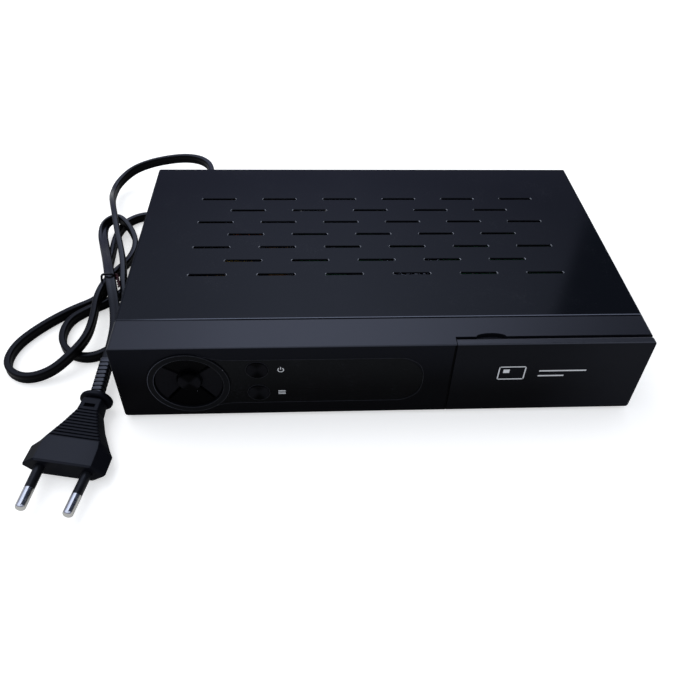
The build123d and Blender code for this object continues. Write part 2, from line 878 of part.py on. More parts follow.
def make_port(x, width, height, tongue):
    """A shell socket for a flat connector, with its contact tongue inside."""
    mouth = rear_wall_out + shell_wall
    body = block(x - width / 2, x + width / 2, mouth - shell_depth, mouth, board_top, board_top + height)
    body -= block(x - width / 2 + shell_wall, x + width / 2 - shell_wall, mouth - cavity_depth, mouth,
                  board_top + shell_wall, board_top + height - shell_wall)
    middle_y = mouth - (cavity_depth + tongue_recess) / 2
    tongue_z = board_top + (height - tongue[1]) / 2
    return body + slab_at(x, middle_y, tongue_z, tongue[0], cavity_depth - tongue_recess, tongue[1])


# ---------------------------------------------------------------- power board


def make_insulator():
    body = block(power_left - sheet_margin, power_right + sheet_margin, power_front - sheet_margin,
                 power_rear + sheet_margin, pan_top, pan_top + insulator)
    for x, y in power_screws():
        body -= rod((x, y, pan_top), UP, standoff_radius + slip, insulator)
    return body


def make_winding():
    x, y = on_board(power_left, core_offset)
    lift = (core_size[2] - winding_size[2]) / 2
    return slab_at(x, y, board_top + lift, *winding_size)


def make_core():
    x, y = on_board(power_left, core_offset)
    lift = (core_size[2] - winding_size[2]) / 2
    gap = slip / 2
    opening = block(x - winding_size[0] / 2 - gap, x + winding_size[0] / 2 + gap, y - core_size[1],
                    y + core_size[1], board_top + lift - gap, board_top + lift + winding_size[2] + gap)
    return slab_at(x, y, board_top, *core_size) - opening


def make_fuse():
    x, y = on_board(power_left, fuse_offset)
    return rod((x - fuse_length / 2, y, board_top + fuse_lift), RIGHT, fuse_radius, fuse_length)


def make_fuse_clips():
    x, y = on_board(power_left, fuse_offset)
    clips = []
    for side in (-1, 1):
        clip_x = x + side * (fuse_length - fuse_clip[0]) / 2
        clip = slab_at(clip_x, y, board_top, *fuse_clip, fuse_lift + fuse_radius)
        seat = (clip_x - fuse_clip[0], y, board_top + fuse_lift)
        clip -= rod(seat, RIGHT, fuse_radius + hinge_clearance, 2 * fuse_clip[0])
        clips.append(clip)
    return group(clips)


def make_choke():
    x, y = on_board(power_left, choke_offset)
    z = board_top + choke_radius
    body = rod((x - choke_length / 2, y, z), RIGHT, choke_radius - choke_flange, choke_length)
    for side in (-1, 0, 1):
        flange_x = x + side * (choke_length - choke_flange) / 2 - choke_flange / 2
        body += rod((flange_x, y, z), RIGHT, choke_radius, choke_flange)
    return body


def make_heat_plate():
    return slab_at(*on_board(power_left, heat_plate_offset), board_top, *heat_plate)


def make_transistor():
    x, y = on_board(power_left, heat_plate_offset)
    return slab_at(x, y + heat_plate[1] / 2 + transistor[1] / 2, board_top + wall, *transistor)


def bent_wire(points, radius, bend):
    """A round wire along straight runs joined by arcs of one radius."""
    path = FilletPolyline(*points, radius=bend)
    section = Plane(path @ 0, z_dir=path % 0) * Circle(radius)
    return sweep(section, path=path)


harness_left = power_right - harness_inset
harness_right = main_left + harness_inset


def make_connectors():
    width = (harness_wires + 1) * harness_pitch
    blocks = [slab_at(x, harness_y, board_top, harness_socket, width, harness_height)
              for x in (harness_left, harness_right)]
    blocks.append(slab_at(cord_exit_x, mains_socket_y, board_top, *mains_socket))
    return group(blocks + ribbon_sockets())


def make_harness():
    wires = []
    start_z = board_top + harness_height
    for k in range(harness_wires):
        y = harness_y + (k - (harness_wires - 1) / 2) * harness_pitch
        points = [(harness_left, y, start_z), (harness_left, y, start_z + harness_rise),
                  (harness_right, y, start_z + harness_rise), (harness_right, y, start_z)]
        wires.append(bent_wire(points, wire_radius, wire_bend))
    return group(wires)


def make_mains_leads():
    leads = []
    start_y = rear_wall_in - bushing_flange_thick
    top = board_top + mains_socket[2]
    for side in (-0.5, 0.5):
        x = cord_exit_x + side * mains_wire_gap
        points = [(x, start_y, cord_exit_z), (x, mains_socket_y, cord_exit_z), (x, mains_socket_y, top)]
        leads.append(bent_wire(points, wire_radius, wire_bend))
    return group(leads)


# ---------------------------------------------------------------- power cord

bushing_end = rear_wall_out + bushing_length
# the cord's corners: distance to the right of the case's left side, then Y and Z
free_corners = [
    (18.0, 101.5, 25.0), (8.0, 107.5, 23.6), (-4.0, 111.5, 20.4), (-17.0, 114.5, 16.0),
    (-29.0, 115.5, 10.5), (-37.0, 107.0, 6.0), (-37.0, 93.4, 6.5), (-33.3, 78.4, 12.2), (-28.6, 62.5, 14.0),
    (-24.5, 47.5, 12.8), (-20.3, 34.0, 10.2), (-17.0, 21.7, 8.9), (-14.9, 7.6, 7.1), (-12.2, -7.0, 3.9),
    (-9.3, -19.2, 2.6), (-11.3, -32.8, 2.6), (-20.8, -40.8, 2.6), (-31.9, -37.8, 2.6), (-38.3, -27.8, 2.6),
    (-37.9, -14.7, 2.6), (-30.6, -6.6, 2.6), (-21.2, -0.4, 2.6), (-13.2, 10.2, 2.6), (-10.9, 27.4, 2.6),
    (-8.8, 43.0, 2.6), (-5.5, 57.5, 2.6), (-5.3, 70.6, 2.6), (-11.8, 78.1, 2.6), (-21.8, 74.6, 2.6),
    (-27.6, 65.0, 2.6), (-28.6, 52.5, 2.6), (-27.8, 40.5, 2.6), (-26.9, 26.0, 2.6), (-24.3, 11.6, 3.6),
    (-26.6, 1.0, 2.6), (-38.4, -6.8, 2.6), (-50.4, -19.2, 2.6), (-58.4, -32.3, 2.6), (-58.4, -45.8, 2.6),
    (-48.4, -53.3, 2.6), (-36.9, -50.7, 3.9), (-28.1, -42.3, 7.5), (-24.0, -30.8, 7.5), (-24.2, -16.7, 7.5),
    (-25.6, -4.0, 7.8), (-24.2, 8.0, 7.9), (-20.4, 20.6, 5.9), (-17.6, 32.2, 2.9), (-15.7, 45.0, 2.6),
    (-17.9, 54.6, 4.2), (-23.2, 62.8, 7.0), (-29.2, 68.4, 7.7), (-35.0, 63.3, 7.4), (-34.8, 53.1, 6.9),
    (-30.9, 40.5, 7.1), (-26.0, 25.8, 9.8), (-21.7, 11.3, 11.7), (-17.6, -2.4, 10.0), (-13.6, -17.0, 8.7),
    (-11.3, -31.5, 8.4), (-11.9, -46.5, 7.2),
]
cord_route = [(cord_exit_x, bushing_end, cord_exit_z), (cord_exit_x, bushing_end + cord_lead, cord_exit_z)]
cord_route += [(x - half_width, y, z) for x, y, z in free_corners]


def arc_radii(points):
    """The largest arc that each corner's two runs allow."""
    radii = []
    for before, corner, after in zip(points, points[1:], points[2:]):
        run_in = Vector(corner) - Vector(before)
        run_out = Vector(after) - Vector(corner)
        turn = math.radians(run_in.get_angle(run_out))
        radii.append(arc_share * min(run_in.length, run_out.length) / math.tan(turn / 2))
    return radii


def make_cord():
    radii = arc_radii(cord_route)
    print("cord arcs", [round(r, 1) for r in radii])
    path = FilletPolyline(*cord_route, radius=radii)
    section = Plane(path @ 0, z_dir=path % 0) * Circle(cord_diameter / 2)
    body = sweep(section, path=path)
    expected = path.length * math.pi * cord_diameter ** 2 / 4
    print("cord length", round(path.length, 1), "volume share", round(body.volume / expected, 4))
    return body


def make_bushing():
    """The strain relief that is clipped into the rear wall."""
    start = (cord_exit_x, rear_wall_in - bushing_flange_thick, cord_exit_z)
    body = rod(start, REAR, bushing_neck + sheet, bushing_flange_thick)
    body += rod((cord_exit_x, rear_wall_in, cord_exit_z), REAR, bushing_neck, sheet)
    body += rod((cord_exit_x, rear_wall_out, cord_exit_z), REAR, bushing_flange, bushing_flange_thick)
    taper_y = rear_wall_out + bushing_flange_thick
    length = bushing_end - taper_y
    body += cone((cord_exit_x, taper_y, cord_exit_z), REAR, bushing_radius, bushing_tip, length)
    pitch = length / (bushing_grooves + 1)
    for k in range(bushing_grooves):
        share = (k + 1) / (bushing_grooves + 1)
        floor_radius = bushing_radius - (bushing_radius - bushing_tip) * share - groove_depth
        start = (cord_exit_x, taper_y + share * length, cord_exit_z)
        body -= tube(start, REAR, 2 * bushing_radius, floor_radius, pitch * groove_share)
    return body


def make_tie():
    """The thin wire that holds the folded cord, with its twisted ends."""
    radius = tie_wire / 2
    corners = [(tie_left, tie_y, radius), (tie_right, tie_y, radius), (tie_right, tie_y, tie_top),
               (tie_left, tie_y, tie_top)]
    path = FilletPolyline(*corners, radius=tie_corner, close=True)
    section = Plane(path @ 0, z_dir=path % 0) * Circle(radius)
    ring = sweep(section, path=path)
    start = (tie_right + twist_reach, tie_y + twist_behind, tie_top - twist_drop)
    run = Vector(*twist_run)
    return ring + rod(start, run.normalized(), twist_radius, run.length)


# ---------------------------------------------------------------- plug

# distance behind the front face, width of the flats, width over the ridges, thickness
plug_sections = ((0.0, 21.8, 32.2, 8.6), (0.8, 22.6, plug_width, 9.4), (9.0, 22.0, 32.8, 9.6),
                 (12.2, 20.8, 28.4, 9.6), (20.0, 13.8, 19.4, 9.4), (neck_start, 8.2, 12.8, 9.2),
                 (plug_length - plug_collar[2], 7.2, 10.4, 9.0))


def plug_profile(y, flat, ridge, thick):
    """One cross-section of the plug: flats above and below, ridges at half height."""
    points = [(-flat / 2, thick / 2), (flat / 2, thick / 2), (ridge / 2, 0), (flat / 2, -thick / 2),
              (-flat / 2, -thick / 2), (-ridge / 2, 0)]
    return Plane((0, y, 0), x_dir=RIGHT, z_dir=FRONT) * Polygon(*points, align=None)


def plug_place():
    """Moves a shape made at the plug's front face to where the plug lies."""
    return Pos(-half_width - plug_away, plug_front_y, plug_lift) * Rot(0, 0, plug_turn) * Rot(0, plug_roll, 0)


def make_plug_body():
    body = loft([plug_profile(*section) for section in plug_sections], ruled=True)
    half_thick = plug_sections[-1][3] / 2
    for k in range(rib_count):
        for side in (-1, 1):
            groove = slab_at(0, rib_start + k * rib_pitch, half_thick - rib_sink, plug_width, rib_cut, half_thick)
            body -= Rot(0, 90 - side * 90, 0) * groove
    collar_y = plug_length - plug_collar[2]
    collar = Plane((0, collar_y, 0), x_dir=RIGHT, z_dir=REAR) * Ellipse(plug_collar[0] / 2, plug_collar[1] / 2)
    body += extrude(collar, plug_collar[2])
    return plug_place() * body + make_boot()


def make_boot():
    """The ribbed cord boot, in line with the cord's last run."""
    tip = Vector(*cord_route[-1])
    inward = (tip - Vector(*cord_route[-2])).normalized()
    body = cone(tip, inward, boot_tip, boot_radius, boot_length)
    pitch = boot_length / (boot_grooves + 2)
    for k in range(boot_grooves):
        reach = (k + 1) * pitch
        floor_radius = boot_tip + (boot_radius - boot_tip) * reach / boot_length - boot_cut
        body -= tube(tip + inward * reach, inward, 2 * boot_radius, floor_radius, pitch * groove_share)
    return body


def pin_frames():
    """The two pins' base points, each leaning a little towards the other."""
    frames = []
    for side in (-1, 1):
        frames.append(plug_place() * Pos(side * pin_spacing / 2, 0, 0) * Rot(0, 0, -side * pin_lean) * Rot(90, 0, 0))
    return frames


def make_pins():
    pins = []
    for frame in pin_frames():
        core = Pos(0, 0, slip) * extrude(Circle(pin_core), sleeve_length)
        tip = Pos(0, 0, sleeve_length + slip) * extrude(Circle(pin_radius), pin_length - sleeve_length - slip)
        tip = fillet(tip.edges().group_by(Axis.Z)[-1], pin_radius * 0.6)
        pins.append(frame * (core + tip))
    return group(pins)


def make_sleeves():
    sleeve = extrude(Circle(sleeve_radius) - Circle(sleeve_bore), sleeve_length - slip)
    return group(frame * Pos(0, 0, slip) * sleeve for frame in pin_frames())


# ---------------------------------------------------------------- all parts

parts["front_fascia"] = make_fascia()
parts["card_door"] = make_door()
parts["door_hinge_pins"] = make_hinge_pins()
parts["door_magnet"] = magnet_pocket(-slip) & magnet_pocket(0)
parts["door_catch_plate"] = make_catch_plate()
parts["top_cover"] = make_cover()
parts["base_pan"] = make_pan()
parts["rubber_feet"] = make_feet()
parts["cover_screws"] = make_cover_screws()
parts["pad_ring"] = make_ring()
parts.update(make_direction_keys())
parts["ok_button"] = make_ok_button()
parts["power_button"] = make_round_button(power_z)
parts["menu_button"] = make_round_button(menu_z)
parts["display_window"] = make_window()
parts["front_board"] = make_front_board()
parts["key_switches"] = make_switches()
parts["digit_display"] = make_display()
parts["remote_eye"] = make_remote_eye()
parts["standby_lamp"] = make_lamp()
parts["ribbon_cable"] = make_ribbon()
parts["main_board"] = drilled_board(main_left, main_right, main_front, main_rear, main_screws())
parts["board_standoffs"] = make_standoffs()
parts["board_screws"] = make_board_screws()
parts["main_chip"] = slab_at(*on_board(main_left, chip_offset), board_top, chip_size, chip_size, chip_thick)
parts["chip_heatsink"] = make_heatsink()
parts["memory_chips"] = group(slab_at(*on_board(main_left, spot), board_top, *memory_size)
                              for spot in memory_offsets)
parts["board_capacitors"] = group(can(*on_board(main_left, spot), small_can_radius, small_can_height)
                                  for spot in small_can_offsets)
parts["card_reader"] = make_card_reader()
parts["tuner_can"] = make_tuner()
parts["aerial_in_socket"] = make_aerial_socket(aerial_x[1])
parts["aerial_loop_socket"] = make_aerial_socket(aerial_x[0])
parts["aerial_nuts"] = make_aerial_nuts()
parts["av_housings"] = group([av_housing(av_x[0], av_x[-1]), av_housing(digital_x, digital_x)])
parts["av_shells"] = make_av_shells()
parts["av_colour_rings"] = make_av_rings()
parts["hdmi_socket"] = make_port(hdmi_x, hdmi_width, hdmi_height, hdmi_tongue)
parts["usb_socket"] = make_port(usb_x, usb_width, usb_height, usb_tongue)
parts["power_board"] = drilled_board(power_left, power_right, power_front, power_rear, power_screws())
parts["insulating_sheet"] = make_insulator()
parts["transformer_core"] = make_core()
parts["transformer_winding"] = make_winding()
parts["bulk_capacitor"] = can(*on_board(power_left, bulk_offset), bulk_radius, bulk_height)
parts["mains_fuse"] = make_fuse()
parts["fuse_clips"] = make_fuse_clips()
parts["mains_choke"] = make_choke()
parts["heat_plate"] = make_heat_plate()
parts["switching_transistor"] = make_transistor()
parts["wire_connectors"] = make_connectors()
parts["power_harness"] = make_harness()
parts["mains_leads"] = make_mains_leads()
parts["cord_bushing"] = make_bushing()
parts["power_cord"] = make_cord()
parts["cord_tie"] = make_tie()
parts["plug_body"] = make_plug_body()
parts["plug_pins"] = make_pins()
parts["pin_sleeves"] = make_sleeves()

os.makedirs("parts", exist_ok=True)
for name, shape in parts.items():
    export_step(shape, f"parts/{name}.step")
print(len(parts), "nodes")
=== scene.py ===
import json
from math import cos, pi, radians, sin, sqrt

import bmesh
import bpy
from mathutils import Matrix, Vector


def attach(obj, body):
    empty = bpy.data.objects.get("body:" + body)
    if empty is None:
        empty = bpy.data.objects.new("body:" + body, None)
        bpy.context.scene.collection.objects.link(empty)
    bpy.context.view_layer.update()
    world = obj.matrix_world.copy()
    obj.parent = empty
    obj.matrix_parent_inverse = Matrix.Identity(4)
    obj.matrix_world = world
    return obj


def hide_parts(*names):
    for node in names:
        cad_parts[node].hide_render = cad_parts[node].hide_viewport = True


# Dress of the satellite receiver. Lengths are in millimetres, except the studio's, and turns in degrees.

MM = 0.001
METRE = 1000.0
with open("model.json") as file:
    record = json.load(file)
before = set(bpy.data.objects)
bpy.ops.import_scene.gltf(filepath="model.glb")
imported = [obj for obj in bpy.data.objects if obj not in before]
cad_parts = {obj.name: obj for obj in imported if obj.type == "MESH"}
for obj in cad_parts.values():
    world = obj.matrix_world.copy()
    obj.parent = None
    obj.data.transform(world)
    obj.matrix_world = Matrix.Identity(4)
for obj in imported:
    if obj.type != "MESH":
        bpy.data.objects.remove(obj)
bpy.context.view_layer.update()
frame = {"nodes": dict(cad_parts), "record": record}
nodes = frame["nodes"]

# ---- places on the case ----
FRONT_Y = -74.5
TOP_Z = 41.0
FLANK_X = 109.3
COVER_FRONT = -57.2
COVER_EDGE = 0.42
SEAM_GAP = 0.3
SEAM_SHADE = 0.62
DOOR_GAP_X = 27.6
DOOR_GAP_HALF = 0.45
DOOR_GAP_DEPTH = 0.4
PAD = (-80.4, 21.3)
RING_OUTER = 16.7
RING_INNER = 14.0
RING_PROUD = 0.7
RING_INSET = 0.2
WINDOW_RIGHT = 16.1
WINDOW_Z = 21.6
WINDOW_HALF = 12.6
BUTTON_X = -52.3
POWER_Z = 28.4
MENU_Z = 15.1
SURROUND_RADIUS = 4.62
TRIM_PROUD = 0.02
THREAD_FROM = (70.0, 62.0)
VENT_LENGTH = 17.3
VENT_WIDTH = 1.9
VENT_PITCH_X = 30.2
VENT_PITCH_Y = 10.25
VENT_FIRST_Y = -28.0
VENT_ROWS = 7
VENT_MOST = 6
# Each step of a slot's lip goes inwards and down.
LIP_STEPS = ((0.05, -0.01), (0.07, -0.05), (0.04, -0.2))

# ---- printed marks ----
# A bar is the X and Z of its middle, its width and its height.
PRINT_Y = FRONT_Y + 0.03
PRINT_THICK = 0.08
KEY_MARKS_X = BUTTON_X + 9.6
SIGN_RADIUS = 1.15
SIGN_LINE = 0.34
SIGN_GAP = 35
LIST_BAR_SIZE = (3.0, 0.36)
LIST_PITCH = 0.85
CARD_PLACE = (53.0, 24.5)
CARD_SIZE = (11.0, 7.2)
CARD_LINE = 0.5
CARD_CHIP = (50.6, 25.6, 2.6, 2.0)
STRIPES = ((74.5, 25.5, 20.0, 0.7), (70.0, 22.6, 11.0, 0.7))

# ---- places of the plug and its boot ----
# A section is its distance behind the front face, its width over the flats and the ridges, and its thickness.
PLUG_FRONT = (-127.2, -105.4, 6.0)
PLUG_TURN = -8.0
PLUG_ROLL = 5.0
COLLAR_Y = 35.3
COLLAR_PROFILE = ((0, 0), (5.2, 0), (6.5, 0.15), (6.9, 0.6), (7.0, 1.3), (6.9, 2.0), (6.5, 2.45), (5.2, 2.6),
                  (0, 2.6))
COLLAR_FLATNESS = 0.8
PLUG_SECTIONS = ((0.0, 21.8, 32.2, 8.6), (0.8, 22.6, 33.0, 9.4), (9.0, 22.0, 32.8, 9.6),
                 (12.2, 20.8, 28.4, 9.6), (20.0, 13.8, 19.4, 9.4), (27.4, 8.2, 12.8, 9.2),
                 (COLLAR_Y, 7.4, 10.4, 9.0))
GROOVE_START = 12.5
GROOVE_PITCH = 1.6
GROOVE_COUNT = 10
GROOVE_WIDTH = 0.8
GROOVE_DEPTH = 0.5
GROOVE_WALL = 0.12
SLOT_SPAN = (28.6, 31.4)
SLOT_INSET = 0.42
SLOT_NARROWING = 0.72
SLOT_WALL = 0.05
SLOT_DEPTH = 1.6
NECK_SPAN = (33.8, COLLAR_Y)
NECK_DEPTH = 1.2
BOOT_TIP = (-121.9, -46.5, 7.2)
BOOT_LENGTH = 21.8
BOOT_FIRST_NOTCH = 2.6
BOOT_NOTCHES = 8
BOOT_PITCH = 2.2
BOOT_NOTCH = 0.75
BOOT_WALL = 0.1
BOOT_WIDE = 5.2
BOOT_NARROW = 4.2

# ---- the lead and its tie ----
CORD_ROUTE = (
    (-86, 84, 24.5), (-86, 92.5, 24.5), (-92, 101.5, 25), (-102, 107.5, 23.6), (-114, 111.5, 20.4),
    (-127, 114.5, 16), (-139, 115.5, 10.5), (-147, 107, 6), (-147, 93.4, 6.5), (-143.3, 78.4, 12.2),
    (-138.6, 62.5, 14), (-134.5, 47.5, 12.8), (-130.3, 34, 10.2), (-127, 21.7, 8.9), (-124.9, 7.6, 7.1),
    (-122.2, -7, 3.9), (-119.3, -19.2, 2.6), (-121.3, -32.8, 2.6), (-130.8, -40.8, 2.6),
    (-141.9, -37.8, 2.6), (-148.3, -27.8, 2.6), (-147.9, -14.7, 2.6), (-140.6, -6.6, 2.6),
    (-131.2, -0.4, 2.6), (-123.2, 10.2, 2.6), (-120.9, 27.4, 2.6), (-118.8, 43, 2.6), (-115.5, 57.5, 2.6),
    (-115.3, 70.6, 2.6), (-121.8, 78.1, 2.6), (-131.8, 74.6, 2.6), (-137.6, 65, 2.6), (-138.6, 52.5, 2.6),
    (-137.8, 40.5, 2.6), (-136.9, 26, 2.6), (-134.3, 11.6, 3.6), (-136.6, 1, 2.6), (-148.4, -6.8, 2.6),
    (-160.4, -19.2, 2.6), (-168.4, -32.3, 2.6), (-168.4, -45.8, 2.6), (-158.4, -53.3, 2.6),
    (-146.9, -50.7, 3.9), (-138.1, -42.3, 7.5), (-134, -30.8, 7.5), (-134.2, -16.7, 7.5),
    (-135.6, -4, 7.8), (-134.2, 8, 7.9), (-130.4, 20.6, 5.9), (-127.6, 32.2, 2.9), (-125.7, 45, 2.6),
    (-127.9, 54.6, 4.2), (-133.2, 62.8, 7), (-139.2, 68.4, 7.7), (-145, 63.3, 7.4), (-144.8, 53.1, 6.9),
    (-140.9, 40.5, 7.1), (-136, 25.8, 9.8), (-131.7, 11.3, 11.7), (-127.6, -2.4, 10), (-123.6, -17, 8.7),
    (-121.3, -31.5, 8.4), (-121.9, -46.5, 7.2))
CORD_WIDTH = 5.1
CORD_THICK = 3.0
CORD_WAIST = 2.7
FLAT_FROM = 56
TIE_Y = 8.3
TIE_HOLD = ((-136.2, 3.2), (-135.7, 7.0), (-135.2, 10.2), (-134.6, 13.3), (-132.4, 13.8), (-129.3, 13.75),
            (-128.6, 12.2), (-130.6, 7.0), (-132.2, 1.6), (-133.6, 0.7), (-135.6, 0.7))
TIE_TWIST = (-127.9, 10.6, 12.0)
TIE_RUN = (2.7, -8.6, -1.4)
TIE_TURNS = 2.5
TIE_STEPS = 24
TIE_COIL = 0.42


# ---------------------------------------------------------------- node helpers


def srgb(red, green, blue):
    """A colour as a paint maker's 0 to 255 values, for the shader."""
    def linear(value):
        value /= 255
        return value / 12.92 if value <= 0.04045 else ((value + 0.055) / 1.055) ** 2.4
    return (linear(red), linear(green), linear(blue), 1.0)


def add(tree, kind, **settings):
    node = tree.nodes.new(kind)
    for key, value in settings.items():
        setattr(node, key, value)
    return node


def feed(tree, target, value):
    """Gives a socket a constant or links it to another socket."""
    if isinstance(value, bpy.types.NodeSocket):
        tree.links.new(value, target)
    else:
        target.default_value = value


def fed_by(socket):
    """The socket that feeds another one so far."""
    return socket.links[0].from_socket


def maths(tree, operation, first, second=0.0, clamp=False):
    node = add(tree, "ShaderNodeMath", operation=operation, use_clamp=clamp)
    feed(tree, node.inputs[0], first)
    feed(tree, node.inputs[1], second)
    return node.outputs[0]


def times(tree, first, second):
    return maths(tree, "MULTIPLY", first, second)


def spread(tree, value, low, high, to_low=0.0, to_high=1.0, smooth=False):
    """Maps a span of values onto another one, which it never leaves."""
    node = add(tree, "ShaderNodeMapRange", interpolation_type="SMOOTHSTEP" if smooth else "LINEAR")
    for socket, given in zip(node.inputs, (value, low, high, to_low, to_high)):
        feed(tree, socket, given)
    return node.outputs[0]


def blended(tree, mask, first, second):
    """The first colour where the mask is 0, the second where it is 1."""
    node = add(tree, "ShaderNodeMix", data_type="RGBA")
    feed(tree, node.inputs["Factor"], mask)
    feed(tree, node.inputs[6], first)
    feed(tree, node.inputs[7], second)
    return node.outputs[2]


def scaled(tree, colour, factor):
    node = add(tree, "ShaderNodeVectorMath", operation="SCALE")
    feed(tree, node.inputs[0], colour)
    feed(tree, node.inputs["Scale"], factor)
    return node.outputs["Vector"]


def place(tree):
    """The piece's own coordinates, in metres."""
    return add(tree, "ShaderNodeTexCoord").outputs["Object"]


def axes_of(tree, vector):
    node = add(tree, "ShaderNodeSeparateXYZ")
    feed(tree, node.inputs[0], vector)
    return node.outputs


def joined(tree, lengths):
    """The opposite of axes_of."""
    node = add(tree, "ShaderNodeCombineXYZ")
    for socket, length in zip(node.inputs, lengths):
        feed(tree, socket, length)
    return node.outputs[0]


def axis_value(tree, letter):
    """The place along an axis, in millimetres."""
    return times(tree, axes_of(tree, place(tree))[letter], METRE)


def distance_from(tree, letter, middle):
    return maths(tree, "ABSOLUTE", maths(tree, "SUBTRACT", axis_value(tree, letter), middle))


def waves(tree, letter, pitch):
    return maths(tree, "SINE", times(tree, axis_value(tree, letter), 2 * pi / pitch))


def noise(tree, vector, scale, detail=2.0, roughness=0.5):
    node = add(tree, "ShaderNodeTexNoise")
    feed(tree, node.inputs["Vector"], vector)
    feed(tree, node.inputs["Scale"], scale)
    node.inputs["Detail"].default_value = detail
    node.inputs["Roughness"].default_value = roughness
    return node.outputs["Fac"]


def cells(tree, scale, randomness=1.0, **settings):
    """A field of cells, with the distance to each one's middle and a random colour for each."""
    node = add(tree, "ShaderNodeTexVoronoi", **settings)
    feed(tree, node.inputs["Vector"], place(tree))
    feed(tree, node.inputs["Scale"], scale)
    node.inputs["Randomness"].default_value = randomness
    return node.outputs


def drawn(tree, colour):
    """Three numbers from a cell's random colour."""
    node = add(tree, "ShaderNodeSeparateColor")
    feed(tree, node.inputs[0], colour)
    return node.outputs


def bump(tree, label, height, distance, strength):
    """A bump node; the distance is in millimetres."""
    node = add(tree, "ShaderNodeBump", label=label)
    node.inputs["Strength"].default_value = strength
    node.inputs["Distance"].default_value = distance * MM
    feed(tree, node.inputs["Height"], height)
    return node.outputs["Normal"]


def new_group(name, takes, gives):
    """A shader node group; takes are (name, kind, default) and gives are (name, kind)."""
    tree = bpy.data.node_groups.new(name, "ShaderNodeTree")
    for label, kind, default in takes:
        socket = tree.interface.new_socket(label, in_out="INPUT", socket_type=kind)
        socket.default_value = default
    for label, kind in gives:
        tree.interface.new_socket(label, in_out="OUTPUT", socket_type=kind)
    return tree, tree.nodes.new("NodeGroupInput").outputs, tree.nodes.new("NodeGroupOutput").inputs


FLOAT = "NodeSocketFloat"
COLOUR = "NodeSocketColor"
BLACK = (0.0, 0.0, 0.0, 1.0)
WHITE = (1.0, 1.0, 1.0, 1.0)


# ---------------------------------------------------------------- shared effects


def build_surface_grain():
    """Moulded or painted grain: a height for the bump and a slow tone for the roughness."""
    tree, given, out = new_group("surface_grain", [("Grain size", FLOAT, 0.5), ("Patch size", FLOAT, 12.0)],
                                 [("Height", FLOAT), ("Tone", FLOAT)])
    for output, size, detail in (("Height", "Grain size", 3.0), ("Tone", "Patch size", 4.0)):
        scale = maths(tree, "DIVIDE", METRE, given[size])
        feed(tree, out[output], noise(tree, place(tree), scale, detail, 0.6))
    return tree


def build_colour_drift():
    """A colour that drifts lighter and darker in soft patches."""
    tree, given, out = new_group("colour_drift", [("Colour", COLOUR, BLACK), ("Patch size", FLOAT, 20.0),
                                                  ("Strength", FLOAT, 0.1)], [("Colour", COLOUR)])
    patches = noise(tree, place(tree), maths(tree, "DIVIDE", METRE, given["Patch size"]), 5.0, 0.62)
    swing = times(tree, maths(tree, "SUBTRACT", patches, 0.5), given["Strength"])
    factor = maths(tree, "ADD", times(tree, swing, 4.0), 1.0)
    feed(tree, out["Colour"], scaled(tree, given["Colour"], factor))
    return tree


def build_dust_specks():
    """Small specks of lint and dust, thinly and unevenly strewn."""
    tree, given, out = new_group("dust_specks", [("Colour", COLOUR, BLACK), ("Dust", COLOUR, BLACK),
                                                 ("Spacing", FLOAT, 2.0), ("Share", FLOAT, 0.1),
                                                 ("Speck size", FLOAT, 0.1)], [("Colour", COLOUR)])
    strewn = cells(tree, maths(tree, "DIVIDE", METRE, given["Spacing"]))
    pick = drawn(tree, strewn["Color"])
    reach = times(tree, maths(tree, "DIVIDE", given["Speck size"], given["Spacing"]),
                  maths(tree, "ADD", pick["Green"], 0.4))
    mask = times(tree, maths(tree, "LESS_THAN", strewn["Distance"], reach),
                 maths(tree, "LESS_THAN", pick["Red"], given["Share"]))
    mask = maths(tree, "MULTIPLY", mask, maths(tree, "ADD", pick["Blue"], 0.3), clamp=True)
    feed(tree, out["Colour"], blended(tree, mask, given["Colour"], given["Dust"]))
    return tree


def build_hairlines():
    """Fine short scratches along one direction of the piece."""
    tree, given, out = new_group("hairlines", [("Length", FLOAT, 12.0), ("Width", FLOAT, 0.25),
                                               ("Share", FLOAT, 0.3)], [("Mask", FLOAT)])
    slanted = add(tree, "ShaderNodeMapping")
    feed(tree, slanted.inputs["Vector"], place(tree))
    slanted.inputs["Rotation"].default_value = (0.3, 0.2, 0.5)
    slanted.inputs["Scale"].default_value = (METRE, METRE, METRE)
    sizes = (given["Length"], given["Width"], given["Width"])
    drawn_out = [maths(tree, "DIVIDE", axis, size)
                 for axis, size in zip(axes_of(tree, slanted.outputs["Vector"]), sizes)]
    streaks = noise(tree, joined(tree, drawn_out), 1.0, 1.0)
    patches = noise(tree, place(tree), 60.0)
    level = maths(tree, "SUBTRACT", 0.92, times(tree, given["Share"], patches))
    feed(tree, out["Mask"], spread(tree, streaks, level, maths(tree, "ADD", level, 0.03), smooth=True))
    return tree


def build_upper_sheen():
    """1 on faces that look up and 0 on those that look sideways: where the painted sheen goes."""
    tree, given, out = new_group("upper_sheen", [("From", FLOAT, 0.35), ("To", FLOAT, 0.9)],
                                 [("Mask", FLOAT)])
    facing = axes_of(tree, add(tree, "ShaderNodeTexCoord").outputs["Normal"])
    feed(tree, out["Mask"], spread(tree, facing["Z"], given["From"], given["To"], smooth=True))
    return tree


def build_brushing():
    """Long fine lines of drawn, rolled or turned metal."""
    tree, given, out = new_group("brushing", [(f"Along {letter}", FLOAT, 1.0) for letter in "XYZ"],
                                 [("Height", FLOAT)])
    drawn_out = [maths(tree, "DIVIDE", axis_value(tree, letter), given[f"Along {letter}"])
                 for letter in "XYZ"]
    feed(tree, out["Height"], noise(tree, joined(tree, drawn_out), 4.0, 3.0, 0.6))
    return tree


